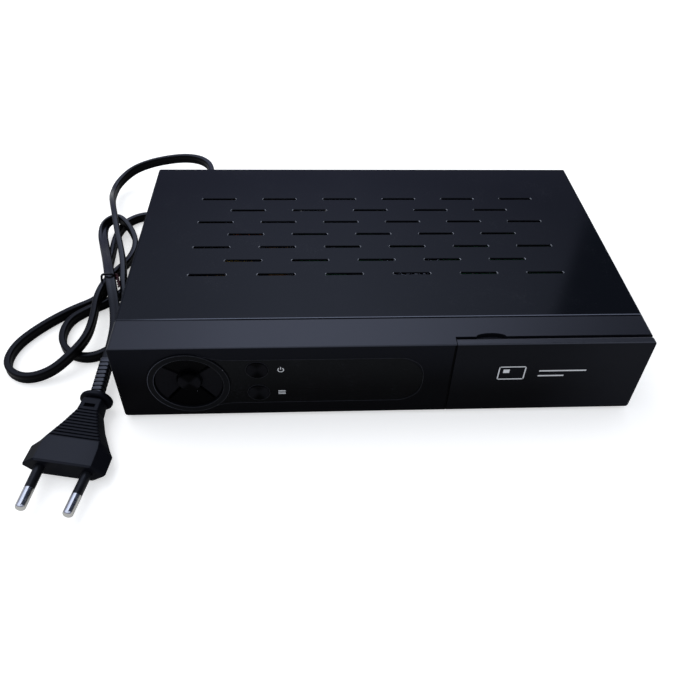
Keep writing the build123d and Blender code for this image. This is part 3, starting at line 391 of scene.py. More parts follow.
def build_copper_tracks():
    """A drilled circuit board: lacquered tracks, and tinned pads in a loose grid."""
    tree, given, out = new_group("copper_tracks", [("Board", COLOUR, BLACK), ("Track", COLOUR, BLACK),
                                                   ("Pad", COLOUR, BLACK), ("Pitch", FLOAT, 2.54)],
                                 [("Colour", COLOUR), ("Pads", FLOAT), ("Height", FLOAT)])
    scale = maths(tree, "DIVIDE", METRE, given["Pitch"])
    grid = cells(tree, times(tree, scale, 0.6), 0.35, distance="CHEBYCHEV", feature="F1")
    paths = cells(tree, times(tree, scale, 0.3), distance="MANHATTAN", feature="F2")
    tracks = maths(tree, "LESS_THAN", maths(tree, "PINGPONG", paths["Distance"], 0.16), 0.07)
    pads = times(tree, maths(tree, "LESS_THAN", grid["Distance"], 0.2),
                 maths(tree, "LESS_THAN", drawn(tree, grid["Color"])["Red"], 0.35))
    colour = blended(tree, tracks, given["Board"], given["Track"])
    feed(tree, out["Colour"], blended(tree, pads, colour, given["Pad"]))
    feed(tree, out["Pads"], pads)
    feed(tree, out["Height"], maths(tree, "ADD", times(tree, tracks, 0.4), pads))
    return tree


GROUPS = {tree.name: tree for tree in (
    build_surface_grain(), build_colour_drift(), build_dust_specks(), build_hairlines(), build_upper_sheen(),
    build_brushing(), build_copper_tracks())}


def effect(tree, group, **values):
    """Places a shared effect; an underscore in a key stands for a space."""
    node = add(tree, "ShaderNodeGroup", node_tree=GROUPS[group])
    for key, value in values.items():
        feed(tree, node.inputs[key.replace("_", " ")], value)
    return node.outputs


# ---------------------------------------------------------------- finishes

finishes = {}


def new_material(name):
    material = bpy.data.materials.new(name)
    material.use_nodes = True
    return material, material.node_tree, material.node_tree.nodes["Principled BSDF"]


def finish(slot, colour, roughness, metallic=0.0, specular=0.5, grain=0.5, depth=0.01, patch=14.0,
           drift=0.06, wear=0.08, dust=0.0, dust_colour=srgb(150, 152, 160), spacing=2.6):
    """A finish with grain in its bump, soft patches in its colour and roughness, and dust specks."""
    material, tree, shader = new_material(slot)
    tone = effect(tree, "colour_drift", Colour=colour, Patch_size=patch, Strength=drift)["Colour"]
    if dust:
        tone = effect(tree, "dust_specks", Colour=tone, Dust=dust_colour, Spacing=spacing, Share=dust,
                      Speck_size=0.16)["Colour"]
    grains = effect(tree, "surface_grain", Grain_size=grain, Patch_size=patch)
    feed(tree, shader.inputs["Base Color"], tone)
    feed(tree, shader.inputs["Roughness"],
         spread(tree, grains["Tone"], 0.3, 0.7, roughness - wear, roughness + wear))
    feed(tree, shader.inputs["Normal"], bump(tree, "grain", grains["Height"], depth, 0.5))
    shader.inputs["Metallic"].default_value = metallic
    shader.inputs["Specular IOR Level"].default_value = specular
    finishes[slot] = material
    return tree, shader


def over(tree, shader, mask, colour, share=1.0):
    """Paints a colour over the finish where the mask is 1; a share below 1 lets the finish show through."""
    if share < 1:
        mask = times(tree, mask, share)
    base = shader.inputs["Base Color"]
    feed(tree, base, blended(tree, mask, fed_by(base), colour))


def painted_shade_below(tree, shader, low, high, colour):
    """Painted shade: lets a colour grow from a low to a high line of an upright face, which is left darker
    towards the bottom.
    """
    over(tree, shader, spread(tree, axis_value(tree, "Z"), low, high, smooth=True), colour)


def scratched(tree, shader, colour, **sizes):
    over(tree, shader, effect(tree, "hairlines", **sizes)["Mask"], colour, 0.25)


def bumped(tree, shader, height, distance, strength=0.6):
    """Adds a further height under the finish's own grain."""
    own = fed_by(shader.inputs["Normal"]).node
    feed(tree, own.inputs["Normal"], bump(tree, "relief", height, distance, strength))


def brushed(tree, shader, along, across, depth):
    """Lines of rolling, long in the direction of X."""
    lines = effect(tree, "brushing", Along_X=along, Along_Y=across, Along_Z=across)
    bumped(tree, shader, lines["Height"], depth)


def sheen_on_top(tree, shader, amount, roughness, start=0.35, end=0.9):
    """A painted sheen: a soft coat on the faces that look up and on no others; amount is a number or a
    socket.
    """
    mask = effect(tree, "upper_sheen", From=start, To=end)["Mask"]
    feed(tree, shader.inputs["Coat Weight"], times(tree, mask, amount))
    shader.inputs["Coat Roughness"].default_value = roughness
    shader.inputs["Coat IOR"].default_value = 1.5


def make_plain_finishes():
    """Finishes that need no more than the grain, patches and dust that they all have."""
    finish("trim_plastic", srgb(10, 11, 14), 0.34, specular=0.03, grain=0.3, depth=0.004, patch=12.0,
           dust=0.04)
    finish("print_white", srgb(206, 207, 210), 0.55, specular=0.3, grain=0.2, depth=0.006, patch=3.0,
           drift=0.05)
    finish("worn_edge", srgb(14, 15, 19), 0.32, specular=0.1, grain=0.3, patch=2.0, drift=0.3)
    finish("pale_slot_end", srgb(134, 138, 148), 0.4, specular=0.2, grain=0.3, patch=2.0, drift=0.3)
    finish("screw_black", srgb(24, 25, 27), 0.36, metallic=0.6, grain=0.2, patch=2.0)
    finish("screw_steel", srgb(172, 172, 170), 0.3, metallic=1.0, grain=0.2, patch=2.0)
    finish("pin_steel", srgb(206, 206, 208), 0.26, metallic=1.0, grain=0.3, depth=0.001, patch=4.0,
           drift=0.05, wear=0.04)
    finish("magnet", srgb(62, 60, 60), 0.4, metallic=0.7, grain=0.3, patch=2.0)
    finish("standoff_brass", srgb(196, 160, 92), 0.3, metallic=1.0, grain=0.3, patch=2.0)
    finish("chip_black", srgb(26, 26, 28), 0.55, grain=0.25, depth=0.02, patch=5.0)
    finish("switch_black", srgb(22, 22, 24), 0.5, grain=0.3, depth=0.012, patch=3.0)
    finish("eye_plastic", srgb(34, 12, 16), 0.18, depth=0.004, patch=3.0)
    finish("lamp_red", srgb(140, 18, 16), 0.2, depth=0.004, patch=2.0)
    finish("reader_plastic", srgb(30, 30, 32), 0.5, grain=0.3, depth=0.015, patch=6.0)
    finish("clear_sheet", srgb(196, 200, 202), 0.25, grain=2.0)
    finish("ferrite", srgb(42, 42, 44), 0.6, grain=0.25, depth=0.03, patch=4.0)
    finish("fuse_glass", srgb(176, 182, 184), 0.12, grain=1.0, depth=0.003, patch=4.0)
    finish("connector_white", srgb(214, 208, 192), 0.42, grain=0.3, patch=3.0)
    finish("wire_red", srgb(150, 22, 20), 0.36, grain=0.4, patch=4.0)
    finish("wire_brown", srgb(84, 46, 28), 0.36, grain=0.4, patch=4.0)
    finish("rubber", srgb(24, 24, 26), 0.7, specular=0.25, grain=0.3, depth=0.02, patch=4.0)
    finish("sleeve_black", srgb(13, 14, 17), 0.36, specular=0.2, grain=0.3, patch=4.0)
    finish("tie_red", srgb(44, 13, 15), 0.4, specular=0.2, grain=0.3, patch=2.0, drift=0.2)


def make_cover_paint():
    """Gloss black with fine scratches, a paler line along the front edge and dull flanks."""
    tree, shader = finish("cover_paint", srgb(13, 15, 20), 0.075, specular=0.085, grain=0.35, depth=0.004,
                          patch=60.0, drift=0.05, wear=0.02, dust=0.035, spacing=4.0)
    scratched(tree, shader, srgb(92, 94, 102), Length=9.0, Width=0.16, Share=0.36)
    edge = maths(tree, "LESS_THAN", axis_value(tree, "Y"), COVER_FRONT + COVER_EDGE)
    edge = times(tree, edge, spread(tree, axis_value(tree, "X"), -104.0, -86.0, 0.15, 0.9))
    over(tree, shader, edge, srgb(96, 101, 116))
    flank = spread(tree, distance_from(tree, "X", 0.0), FLANK_X - 0.3, FLANK_X, 0.0, 0.85)
    roughness = shader.inputs["Roughness"]
    feed(tree, roughness, maths(tree, "MAXIMUM", fed_by(roughness), flank))


def make_front_plastic():
    """Black moulding with painted shade that leaves it darker towards the bottom, a painted sheen on its
    strip that is weaker to the left, and painted shade in the gaps at the cover's seam and beside the door.
    """
    tree, shader = finish("front_plastic", srgb(7, 7, 9), 0.5, specular=0.02, grain=0.25, depth=0.012,
                          patch=40.0, dust=0.02, spacing=4.0)
    painted_shade_below(tree, shader, 16.0, 40.0, srgb(18, 19, 24))
    painted_seam_shade = maths(tree, "GREATER_THAN", axis_value(tree, "Y"), COVER_FRONT - SEAM_GAP - SEAM_SHADE)
    painted_seam_shade = times(tree, painted_seam_shade, spread(tree, axis_value(tree, "X"), -104.0, -60.0, 0.2, 1.0))
    painted_door_gap_shade = times(tree, maths(tree, "LESS_THAN", distance_from(tree, "X", DOOR_GAP_X), DOOR_GAP_HALF),
                        maths(tree, "LESS_THAN", axis_value(tree, "Y"), FRONT_Y + DOOR_GAP_DEPTH))
    # Painted shade: near-black in the gap at the cover's seam and in the gap beside the door.
    for painted_gap_shade in (painted_seam_shade, painted_door_gap_shade):
        over(tree, shader, painted_gap_shade, srgb(2, 2, 3))
    amount = times(tree, maths(tree, "SUBTRACT", 1.0, painted_seam_shade), 0.82)
    rightward = spread(tree, axis_value(tree, "X"), -109.0, -62.0, 0.7, 1.0)
    sheen_on_top(tree, shader, times(tree, amount, rightward), 0.34)


def make_door_plastic():
    """The front's black, with painted shade that leaves it darker towards the door's bottom, lightening
    towards its right, and a painted sheen on the faces that look up.
    """
    tree, shader = finish("door_plastic", srgb(9, 9, 11), 0.5, specular=0.02, grain=0.25, depth=0.012,
                          patch=30.0, drift=0.07, dust=0.02, spacing=4.0)
    painted_shade_below(tree, shader, 10.0, 34.0, srgb(20, 21, 25))
    rightward = spread(tree, axis_value(tree, "X"), 58.0, 108.0, 0.0, 0.75, smooth=True)
    over(tree, shader, rightward, srgb(27, 28, 33))
    sheen_on_top(tree, shader, 1.0, 0.34)


def make_key_plastic():
    """Black keys with a painted reflection: paler in the wedges left and right of the middle of the pad and
    of each round button.
    """
    tree, shader = finish("key_plastic", srgb(3, 3, 4), 0.3, specular=0.01, grain=0.3, depth=0.004, patch=8.0,
                          drift=0.08, dust=0.02)
    off_pad = maths(tree, "SUBTRACT", distance_from(tree, "X", PAD[0]), distance_from(tree, "Z", PAD[1]))
    between = distance_from(tree, "Z", (POWER_Z + MENU_Z) / 2)
    rise = maths(tree, "ABSOLUTE", maths(tree, "SUBTRACT", between, (POWER_Z - MENU_Z) / 2))
    off_buttons = maths(tree, "SUBTRACT", distance_from(tree, "X", BUTTON_X), rise)
    painted_reflection_wedges = maths(tree, "MINIMUM", spread(tree, off_pad, -1.0, 1.0), spread(tree, off_buttons, -2.2, 0.6))
    over(tree, shader, painted_reflection_wedges, srgb(17, 17, 20))


def make_smoked_window():
    tree, shader = finish("smoked_window", srgb(4, 4, 5), 0.16, specular=0.03, grain=4.0, depth=0.004,
                          patch=25.0, drift=0.08, wear=0.06, dust=0.10, dust_colour=srgb(96, 98, 106),
                          spacing=3.0)
    # Painted shade: the window is left darker towards its bottom.
    painted_shade_below(tree, shader, 12.0, 34.0, srgb(15, 16, 18))
    scratched(tree, shader, srgb(70, 72, 80), Length=7.0, Width=0.2, Share=0.42)


def make_highlight_line():
    """Painted highlight lines: the pale fine beads of the front, with dust specks, brightest at the left of
    the pad.
    """
    tree, shader = finish("highlight_line", srgb(33, 34, 39), 0.4, specular=0.1, grain=0.3, patch=2.0, drift=0.4,
                          dust=0.3, spacing=1.5)
    over(tree, shader, spread(tree, axis_value(tree, "X"), -82.0, -96.0, smooth=True), srgb(66, 68, 77))


def make_pan_steel():
    """Bare sheet with faint spangles."""
    tree, shader = finish("pan_steel", srgb(176, 179, 183), 0.38, metallic=1.0, grain=0.8, depth=0.006,
                          patch=9.0, drift=0.05, wear=0.1)
    over(tree, shader, drawn(tree, cells(tree, 160.0)["Color"])["Red"], srgb(122, 126, 132), 0.22)


def make_brushed_metals():
    tree, shader = finish("sink_aluminium", srgb(188, 190, 193), 0.34, metallic=1.0, grain=0.4, patch=6.0)
    brushed(tree, shader, 20.0, 0.4, 0.012)
    tree, shader = finish("can_steel", srgb(190, 190, 188), 0.26, metallic=1.0, patch=8.0, wear=0.1)
    brushed(tree, shader, 24.0, 0.6, 0.004)


def make_socket_nickel():
    """Bright nickel, threaded on the aerial sockets outside the back wall."""
    tree, shader = finish("socket_nickel", srgb(198, 196, 190), 0.22, metallic=1.0, grain=0.3, patch=3.0)
    threaded = times(tree, maths(tree, "GREATER_THAN", axis_value(tree, "X"), THREAD_FROM[0]),
                     maths(tree, "GREATER_THAN", axis_value(tree, "Y"), THREAD_FROM[1]))
    bumped(tree, shader, times(tree, waves(tree, "Y", 0.8), threaded), 0.12, 0.7)


def make_wound_parts():
    """Copper wire in close turns, and the tape over a transformer's layers."""
    tree, shader = finish("copper_winding", srgb(178, 88, 42), 0.3, metallic=0.85, grain=0.3, patch=3.0)
    bumped(tree, shader, waves(tree, "X", 0.55), 0.12, 0.8)
    tree, shader = finish("winding_tape", srgb(196, 164, 44), 0.35, grain=0.4, patch=5.0)
    bumped(tree, shader, waves(tree, "Z", 2.2), 0.1)


def make_board_finishes():
    for slot, board, track, pad in (
            ("circuit_board", srgb(20, 72, 44), srgb(30, 98, 58), srgb(206, 200, 184)),
            ("power_board_brown", srgb(150, 112, 66), srgb(128, 92, 50), srgb(196, 194, 188))):
        tree, shader = finish(slot, board, 0.42, patch=12.0, drift=0.05)
        base = shader.inputs["Base Color"]
        tracks = effect(tree, "copper_tracks", Board=fed_by(base), Track=track, Pad=pad, Pitch=2.54)
        feed(tree, base, tracks["Colour"])
        feed(tree, shader.inputs["Metallic"], tracks["Pads"])
        bumped(tree, shader, tracks["Height"], 0.06)


def make_display_grey():
    """The dark display with its unlit bars."""
    tree, shader = finish("display_grey", srgb(58, 59, 62), 0.4, grain=0.4, patch=6.0)
    cell = maths(tree, "PINGPONG", axis_value(tree, "X"), 3.05)
    bars = maths(tree, "LESS_THAN", maths(tree, "ABSOLUTE", maths(tree, "SUBTRACT", cell, 1.8)), 0.35)
    over(tree, shader, bars, srgb(150, 146, 140), 0.6)


def make_ribbon_white():
    """A ribbon cable's side-by-side strands."""
    tree, shader = finish("ribbon_white", srgb(200, 200, 196), 0.5, grain=0.3, patch=5.0)
    strands = waves(tree, "X", 1.27)
    bumped(tree, shader, strands, 0.2, 0.8)
    over(tree, shader, maths(tree, "LESS_THAN", strands, -0.8), srgb(150, 150, 150))


def make_capacitor_sleeve():
    """Dark blue film with the pale stripe of a polarity mark."""
    tree, shader = finish("capacitor_sleeve", srgb(20, 24, 58), 0.3, depth=0.006, patch=5.0)
    stripe = maths(tree, "LESS_THAN", maths(tree, "PINGPONG", axis_value(tree, "X"), 9.0), 0.9)
    over(tree, shader, stripe, srgb(170, 172, 184), 0.7)


def make_ring_colours():
    """The coloured rings of the phono sockets, by their place along the back."""
    tree, shader = finish("ring_colours", srgb(200, 200, 200), 0.3, grain=0.4, depth=0.008, patch=3.0)
    across = axis_value(tree, "X")
    for start, end, colour in ((18.0, 31.0, srgb(206, 96, 22)), (44.0, 56.0, srgb(176, 20, 22)),
                               (56.0, 68.0, srgb(214, 176, 24))):
        inside = times(tree, maths(tree, "GREATER_THAN", across, start),
                       maths(tree, "LESS_THAN", across, end))
        over(tree, shader, inside, colour)


def make_cord_black():
    tree, shader = finish("cord_black", srgb(6, 6, 8), 0.42, specular=0.04, grain=0.4, patch=16.0, drift=0.1,
                          dust=0.03)
    # Painted sheen on the lead's faces that look up, stronger towards the back.
    along = spread(tree, axis_value(tree, "Y"), -12.0, 14.0, 0.22, 0.6, smooth=True)
    sheen_on_top(tree, shader, along, 0.24, 0.6, 0.98)


def make_plug_plastics():
    """The plug's moulding and the boot's, with a painted sheen on the faces that look up; the plug's is
    stronger in front of its grooves.
    """
    moulded = {"specular": 0.04, "grain": 0.22, "depth": 0.02, "patch": 12.0, "drift": 0.08, "dust": 0.03}
    tree, shader = finish("plug_plastic", srgb(11, 12, 17), 0.5, **moulded)
    across = maths(tree, "SUBTRACT", axis_value(tree, "X"), PLUG_FRONT[0])
    along = maths(tree, "SUBTRACT", axis_value(tree, "Y"), PLUG_FRONT[1])
    behind = maths(tree, "ADD", times(tree, across, sin(radians(-PLUG_TURN))),
                   times(tree, along, cos(radians(PLUG_TURN))))
    amount = spread(tree, behind, GROOVE_START - 0.5, GROOVE_START, 0.44, 0.19)
    sheen_on_top(tree, shader, amount, 0.42, 0.8, 0.98)
    tree, shader = finish("boot_plastic", srgb(17, 19, 24), 0.5, **moulded)
    sheen_on_top(tree, shader, 1.0, 0.3, 0.3, 0.9)


for make_finish in (make_plain_finishes, make_cover_paint, make_front_plastic, make_door_plastic,
                    make_key_plastic, make_smoked_window, make_highlight_line, make_pan_steel, make_brushed_metals,
                    make_socket_nickel, make_wound_parts, make_board_finishes, make_display_grey,
                    make_ribbon_white, make_capacitor_sleeve, make_ring_colours, make_cord_black,
                    make_plug_plastics):
    make_finish()

for subpart in frame["record"]["subparts"]:
    for slot in nodes[subpart["node"]].material_slots:
        slot.material = finishes[subpart["material_slot"]]


# ---------------------------------------------------------------- piece helpers


def placed(name, data):
    """A new object in the scene."""
    thing = bpy.data.objects.new(name, data)
    bpy.context.scene.collection.objects.link(thing)
    return thing


def mesh_of(bm, name):
    mesh = bpy.data.meshes.new(name)
    bm.to_mesh(mesh)
    bm.free()
    return mesh


def finished_piece(bm, name, slot, body="receiver", replaced=(), sharp=38.0):
    """Turns a bmesh in millimetres into a piece in the scene that rides on a body."""
    bmesh.ops.remove_doubles(bm, verts=bm.verts, dist=0.001)
    bmesh.ops.recalc_face_normals(bm, faces=bm.faces)
    bmesh.ops.scale(bm, vec=(MM, MM, MM), verts=bm.verts)
    mesh = mesh_of(bm, name)
    mesh.shade_smooth()
    mesh.set_sharp_from_angle(angle=radians(sharp))
    mesh.materials.append(finishes[slot])
    piece = placed(name, mesh)
    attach(piece, body)
    if replaced:
        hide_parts(*replaced)
    return piece


def picked(geom, kind):
    """The vertices, edges or faces among what an operator gives back."""
    return [item for item in geom if isinstance(item, kind)]


def edges_of(verts):
    return list({edge for vert in verts for edge in vert.link_edges})


def rotated(bm, verts, degrees, axis):
    bmesh.ops.rotate(bm, cent=(0, 0, 0), matrix=Matrix.Rotation(radians(degrees), 3, axis), verts=verts)


def smooth_line(curve, points, closed=False):
    """Adds a line through control points to a curve."""
    spline = curve.splines.new("NURBS")
    spline.points.add(len(points) - 1)
    for spot, point in zip(spline.points, points):
        spot.co = (*point, 1.0)
    spline.use_cyclic_u = closed
    spline.order_u = 3
    spline.use_endpoint_u = not closed
    return spline


def wire_line(name, slot, points, thickness, closed=False):
    """A thin round line through control points, made a mesh."""
    curve = bpy.data.curves.new(name, "CURVE")
    curve.dimensions = "3D"
    curve.bevel_depth = thickness / 2
    curve.bevel_resolution = 2
    curve.resolution_u = 8
    curve.use_fill_caps = True
    smooth_line(curve, points, closed)
    source = bpy.data.objects.new(name + "_line", curve)
    mesh = bpy.data.meshes.new_from_object(source)
    bm = bmesh.new()
    bm.from_mesh(mesh)
    bpy.data.objects.remove(source)
    bpy.data.curves.remove(curve)
    bpy.data.meshes.remove(mesh)
    return finished_piece(bm, name, slot)


# ---------------------------------------------------------------- front trim, with painted highlight lines


def make_window_trim():
    """A painted highlight line round the window on a fine raised edge, which runs into the pad's ring with a
    soft shoulder.
    """
    x0, z0 = PAD
    middle = WINDOW_RIGHT - WINDOW_HALF
    top, low = WINDOW_Z + WINDOW_HALF, WINDOW_Z - WINDOW_HALF
    shoulder = [(x0 + RING_OUTER * sin(radians(a)), z0 + RING_OUTER * cos(radians(a))) for a in (18, 30)]
    upper = [*shoulder, (x0 + 14.0, top + 0.15), *((x, top) for x in (x0 + 20.0, x0 + 32.0, -20.0, middle))]
    turn = [(middle + WINDOW_HALF * 0.42, top), (WINDOW_RIGHT, WINDOW_Z + WINDOW_HALF * 0.6),
            (WINDOW_RIGHT, WINDOW_Z - WINDOW_HALF * 0.6), (middle + WINDOW_HALF * 0.42, low)]
    lower = [(x, WINDOW_Z * 2 - z) for x, z in reversed(upper[2:])]
    lower += [(x, z0 * 2 - z) for x, z in reversed(shoulder)]
    points = [(x, FRONT_Y - TRIM_PROUD, z) for x, z in upper + turn + lower]
    wire_line("window_highlight_bead", "highlight_line", points, 0.2)


def bead_ring(bm, centre, radius, bead, steps):
    """A thin round bead bent to a ring that faces the front."""
    verts = bmesh.ops.create_circle(bm, segments=8, radius=bead)["verts"]
    bmesh.ops.translate(bm, vec=Vector(centre) + Vector((radius, 0, 0)), verts=verts)
    bmesh.ops.spin(bm, geom=verts + edges_of(verts), cent=centre, axis=(0, 1, 0), angle=2 * pi, steps=steps,
                   use_merge=True)


def make_ring_trim():
    """Two fine beads on the pad's ring, at its outer and inner edges, that carry painted highlight lines."""
    bm = bmesh.new()
    centre = (PAD[0], FRONT_Y - RING_PROUD + 0.08, PAD[1])
    bead_ring(bm, centre, RING_OUTER - RING_INSET, 0.13, 72)
    bead_ring(bm, centre, RING_INNER + RING_INSET, 0.11, 72)
    finished_piece(bm, "pad_ring_highlight_beads", "highlight_line")


def make_button_trim():
    # Fine beads round the round buttons, which carry painted highlight lines.
    bm = bmesh.new()
    for z in (POWER_Z, MENU_Z):
        bead_ring(bm, (BUTTON_X, FRONT_Y - TRIM_PROUD, z), SURROUND_RADIUS, 0.1, 48)
    finished_piece(bm, "button_surround_highlights", "highlight_line")


def printed_bar(bm, x, z, width, height):
    """A bar of print that stands a little out of the front."""
    verts = bmesh.ops.create_grid(bm, x_segments=1, y_segments=1, size=0.5)["verts"]
    bmesh.ops.scale(bm, vec=(width, height, 1), verts=verts)
    rotated(bm, verts, 90, "X")
    bmesh.ops.translate(bm, vec=(x, PRINT_Y, z), verts=verts)
    faces = list({face for vert in verts for face in vert.link_faces})
    grown = bmesh.ops.extrude_face_region(bm, geom=faces, use_keep_orig=True)["geom"]
    bmesh.ops.translate(bm, vec=(0, -PRINT_THICK, 0), verts=picked(grown, bmesh.types.BMVert))


def make_key_marks():
    """A power sign, whose ring is flat print with a raised bar in its gap, and a list sign of three bars."""
    bm = bmesh.new()
    centre = Vector((KEY_MARKS_X, PRINT_Y, POWER_Z))
    way = Vector((sin(radians(SIGN_GAP)), 0, cos(radians(SIGN_GAP))))
    corners = [bm.verts.new(centre + way * (SIGN_RADIUS + side * SIGN_LINE / 2)) for side in (-1, 1)]
    edge = bm.edges.new(corners)
    bmesh.ops.spin(bm, geom=[*corners, edge], cent=centre, axis=(0, 1, 0), angle=radians(360 - 2 * SIGN_GAP),
                   steps=24)
    printed_bar(bm, KEY_MARKS_X, POWER_Z + 0.95, SIGN_LINE, 1.3)
    for k in (-1, 0, 1):
        printed_bar(bm, KEY_MARKS_X, MENU_Z + k * LIST_PITCH, *LIST_BAR_SIZE)
    finished_piece(bm, "key_marks", "print_white")


def make_door_marks():
    """A plain card sign and stripes printed on the card door."""
    bm = bmesh.new()
    for bar in (*STRIPES, CARD_CHIP):
        printed_bar(bm, *bar)
    (x, z), (width, height) = CARD_PLACE, CARD_SIZE
    for side in (-0.5, 0.5):
        printed_bar(bm, x, z + side * height, width + CARD_LINE, CARD_LINE)
        printed_bar(bm, x + side * width, z, CARD_LINE, height + CARD_LINE)
    finished_piece(bm, "door_marks", "print_white", "door")


def vent_lip(bm, x, y):
    """The rim of one slot, rolled inwards and down, paler at its two ends."""
    half = (VENT_LENGTH - VENT_WIDTH) / 2
    outline = bmesh.ops.create_circle(bm, segments=16, radius=VENT_WIDTH / 2)["verts"]
    for side in (-1, 1):
        end = [v for v in outline if v.co.x * side > 1e-4]
        bmesh.ops.translate(bm, vec=(side * half, 0, 0), verts=end)
    bmesh.ops.translate(bm, vec=(x, y, TOP_Z), verts=outline)
    ring = edges_of(outline)
    for inward, down in LIP_STEPS:
        grown = bmesh.ops.extrude_edge_only(bm, edges=ring)["geom"]
        verts, ring = picked(grown, bmesh.types.BMVert), picked(grown, bmesh.types.BMEdge)
        for side in (-1, 0, 1):
            group = [v for v in verts if (v.co.x - x > half - 0.4) - (v.co.x - x < 0.4 - half) == side]
            wide = max(abs(v.co.y - y) for v in verts)
            shrink = (wide - inward) / wide
            bmesh.ops.scale(bm, vec=(shrink if side else 1.0, shrink, 1.0), verts=group,
                            space=Matrix.Translation((-x - side * half, -y, 0)))
        bmesh.ops.translate(bm, vec=(0, 0, down), verts=verts)
    for face in bm.faces:
        spot = face.calc_center_median()
        if abs(spot.y - y) < 2 and half + 0.35 < abs(spot.x - x) < half + 2:
            face.material_index = 1


def make_vent_lips():
    """The worn rim that the punch leaves round each slot of the cover."""
    bm = bmesh.new()
    for row in range(VENT_ROWS):
        count = VENT_MOST - row % 2
        for k in range(count):
            vent_lip(bm, (k - (count - 1) / 2) * VENT_PITCH_X, VENT_FIRST_Y + row * VENT_PITCH_Y)
    rims = finished_piece(bm, "vent_rims", "worn_edge", sharp=80.0)
    rims.data.materials.append(finishes["pale_slot_end"])


# ---------------------------------------------------------------- cord and plug


def cord_section():
    """The lead's flat section, with rounded edges and a waist between its two cores."""
    section = bpy.data.curves.new("cord_section", "CURVE")
    section.dimensions = "2D"
    half, round_off, waist = CORD_WIDTH / 2, CORD_THICK / 2, CORD_WAIST / 2
    quarter = [(round_off * 0.55, half), (round_off, half - 0.4), (round_off, half - 1.7), (waist, 0.4)]
    points = quarter + [(x, -y) for x, y in reversed(quarter)]
    points += [(-x, -y) for x, y in points]
    smooth_line(section, [(x * MM, y * MM, 0) for x, y in points], closed=True)
    section.resolution_u = 3
    shape = placed("cord_section", section)
    shape.hide_render = True
    shape.hide_viewport = True
    return shape


def cord_tilt(index):
    """How far the flat lead lies over: upright in the loops, flat on its last stretch to the plug."""
    turning = {FLAT_FROM - 2: 35, FLAT_FROM - 1: 75}
    return radians(90 if index >= FLAT_FROM else turning.get(index, 0))


def make_cord():
    shape = cord_section()
    curve = bpy.data.curves.new("power_lead", "CURVE")
    curve.dimensions = "3D"
    curve.twist_mode = "Z_UP"
    curve.resolution_u = 6
    spline = smooth_line(curve, [[value * MM for value in point] for point in CORD_ROUTE])
    for index, spot in enumerate(spline.points):
        spot.tilt = cord_tilt(index)
    curve.bevel_mode = "OBJECT"
    curve.bevel_object = shape
    curve.use_fill_caps = True
    curve.materials.append(finishes["cord_black"])
    lead = placed("power_lead", curve)
    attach(lead, "receiver")
    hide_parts("power_cord")
    return lead


def make_tie():
    """The thin wire round the folded lead and its twisted ends."""
    ring = wire_line("tie_wire", "cord_black", [(x, TIE_Y, z) for x, z in TIE_HOLD], 1.15, closed=True)
    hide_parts("cord_tie")
    start, run = Vector(TIE_TWIST), Vector(TIE_RUN)
    side = run.cross(Vector((0, 0, 1))).normalized()
    rise = side.cross(run).normalized()
    ends = []
    for half in (0, 1):
        points = []
        for k in range(TIE_STEPS + 1):
            done = k / TIE_STEPS
            turn = pi * (half + 2 * TIE_TURNS * done)
            points.append(start + run * done + (side * cos(turn) + rise * sin(turn)) * TIE_COIL)
        ends.append(wire_line(f"tie_end_{half + 1}", "tie_red", points, 0.85))
    return [ring, *ends]


def plug_section(y, sunk=0.0, neck=0.0):
    """Widths of the flats and ridges and the thickness at a distance behind the front face."""
    for low, high in zip(PLUG_SECTIONS, PLUG_SECTIONS[1:]):
        if y <= high[0]:
            t = (y - low[0]) / (high[0] - low[0])
            flat, ridge, thick = (a + (b - a) * t for a, b in zip(low[1:], high[1:]))
            break
    flat += (ridge - flat) * 2 * sunk / thick
    return y, flat - 2 * neck, ridge - 2 * neck, thick - 2 * sunk - 2 * neck


def plug_stations():
    """The plug's outlines from its front face to the collar, with the grooves across its flats."""
    cuts = []
    for k in range(GROOVE_COUNT):
        start = GROOVE_START + k * GROOVE_PITCH
        end = start + GROOVE_WIDTH
        cuts += [(start, 0.0), (start + GROOVE_WALL, GROOVE_DEPTH), (end - GROOVE_WALL, GROOVE_DEPTH),
                 (end, 0.0)]
    cuts += [(y, 0.0) for y in SLOT_SPAN]
    plain = [(section[0], 0.0) for section in PLUG_SECTIONS[:5]]
    outlines = [plug_section(y, sunk) for y, sunk in sorted(plain + cuts)]
    outlines.append(plug_section(NECK_SPAN[0]))
    return outlines + [plug_section(y, neck=NECK_DEPTH) for y in (NECK_SPAN[0] + GROOVE_WALL, NECK_SPAN[1])]


def grown_cap(bm, face, step):
    """Extrudes a cap along Y; returns the new cap and its corners."""
    grown = bmesh.ops.extrude_face_region(bm, geom=[face])["geom"]
    corners = picked(grown, bmesh.types.BMVert)
    bmesh.ops.translate(bm, vec=(0, step, 0), verts=corners)
    if any(len(edge.link_faces) > 2 for edge in face.edges):
        bmesh.ops.delete(bm, geom=[face], context="FACES_ONLY")
    return picked(grown, bmesh.types.BMFace)[0], corners


def grown_through(bm, unit, stations):
    """Extrudes a bmesh's only face along Y; gives its corners with the sizes they have and are to get."""
    face, corners, last = next(iter(bm.faces)), bm.verts[:], (0.0, *unit)
    for station in stations:
        if station[0] > 0:
            face, corners = grown_cap(bm, face, station[0] - last[0])
        yield corners, last, station
        last = station


def rounded_lengthwise(bm, radius, segments):
    along = [e for e in bm.edges if abs(e.verts[0].co.y - e.verts[1].co.y) > 0.01]
    bmesh.ops.bevel(bm, geom=along, offset=radius, offset_type="OFFSET", segments=segments, profile=0.5,
                    affect="EDGES", clamp_overlap=False, material=-1)


def laid_in_line(bm):
    """Turns and moves a shape made at the plug's front face to where the plug lies."""
    rotated(bm, bm.verts, PLUG_ROLL, "Y")
    rotated(bm, bm.verts, PLUG_TURN, "Z")
    bmesh.ops.translate(bm, vec=PLUG_FRONT, verts=bm.verts)


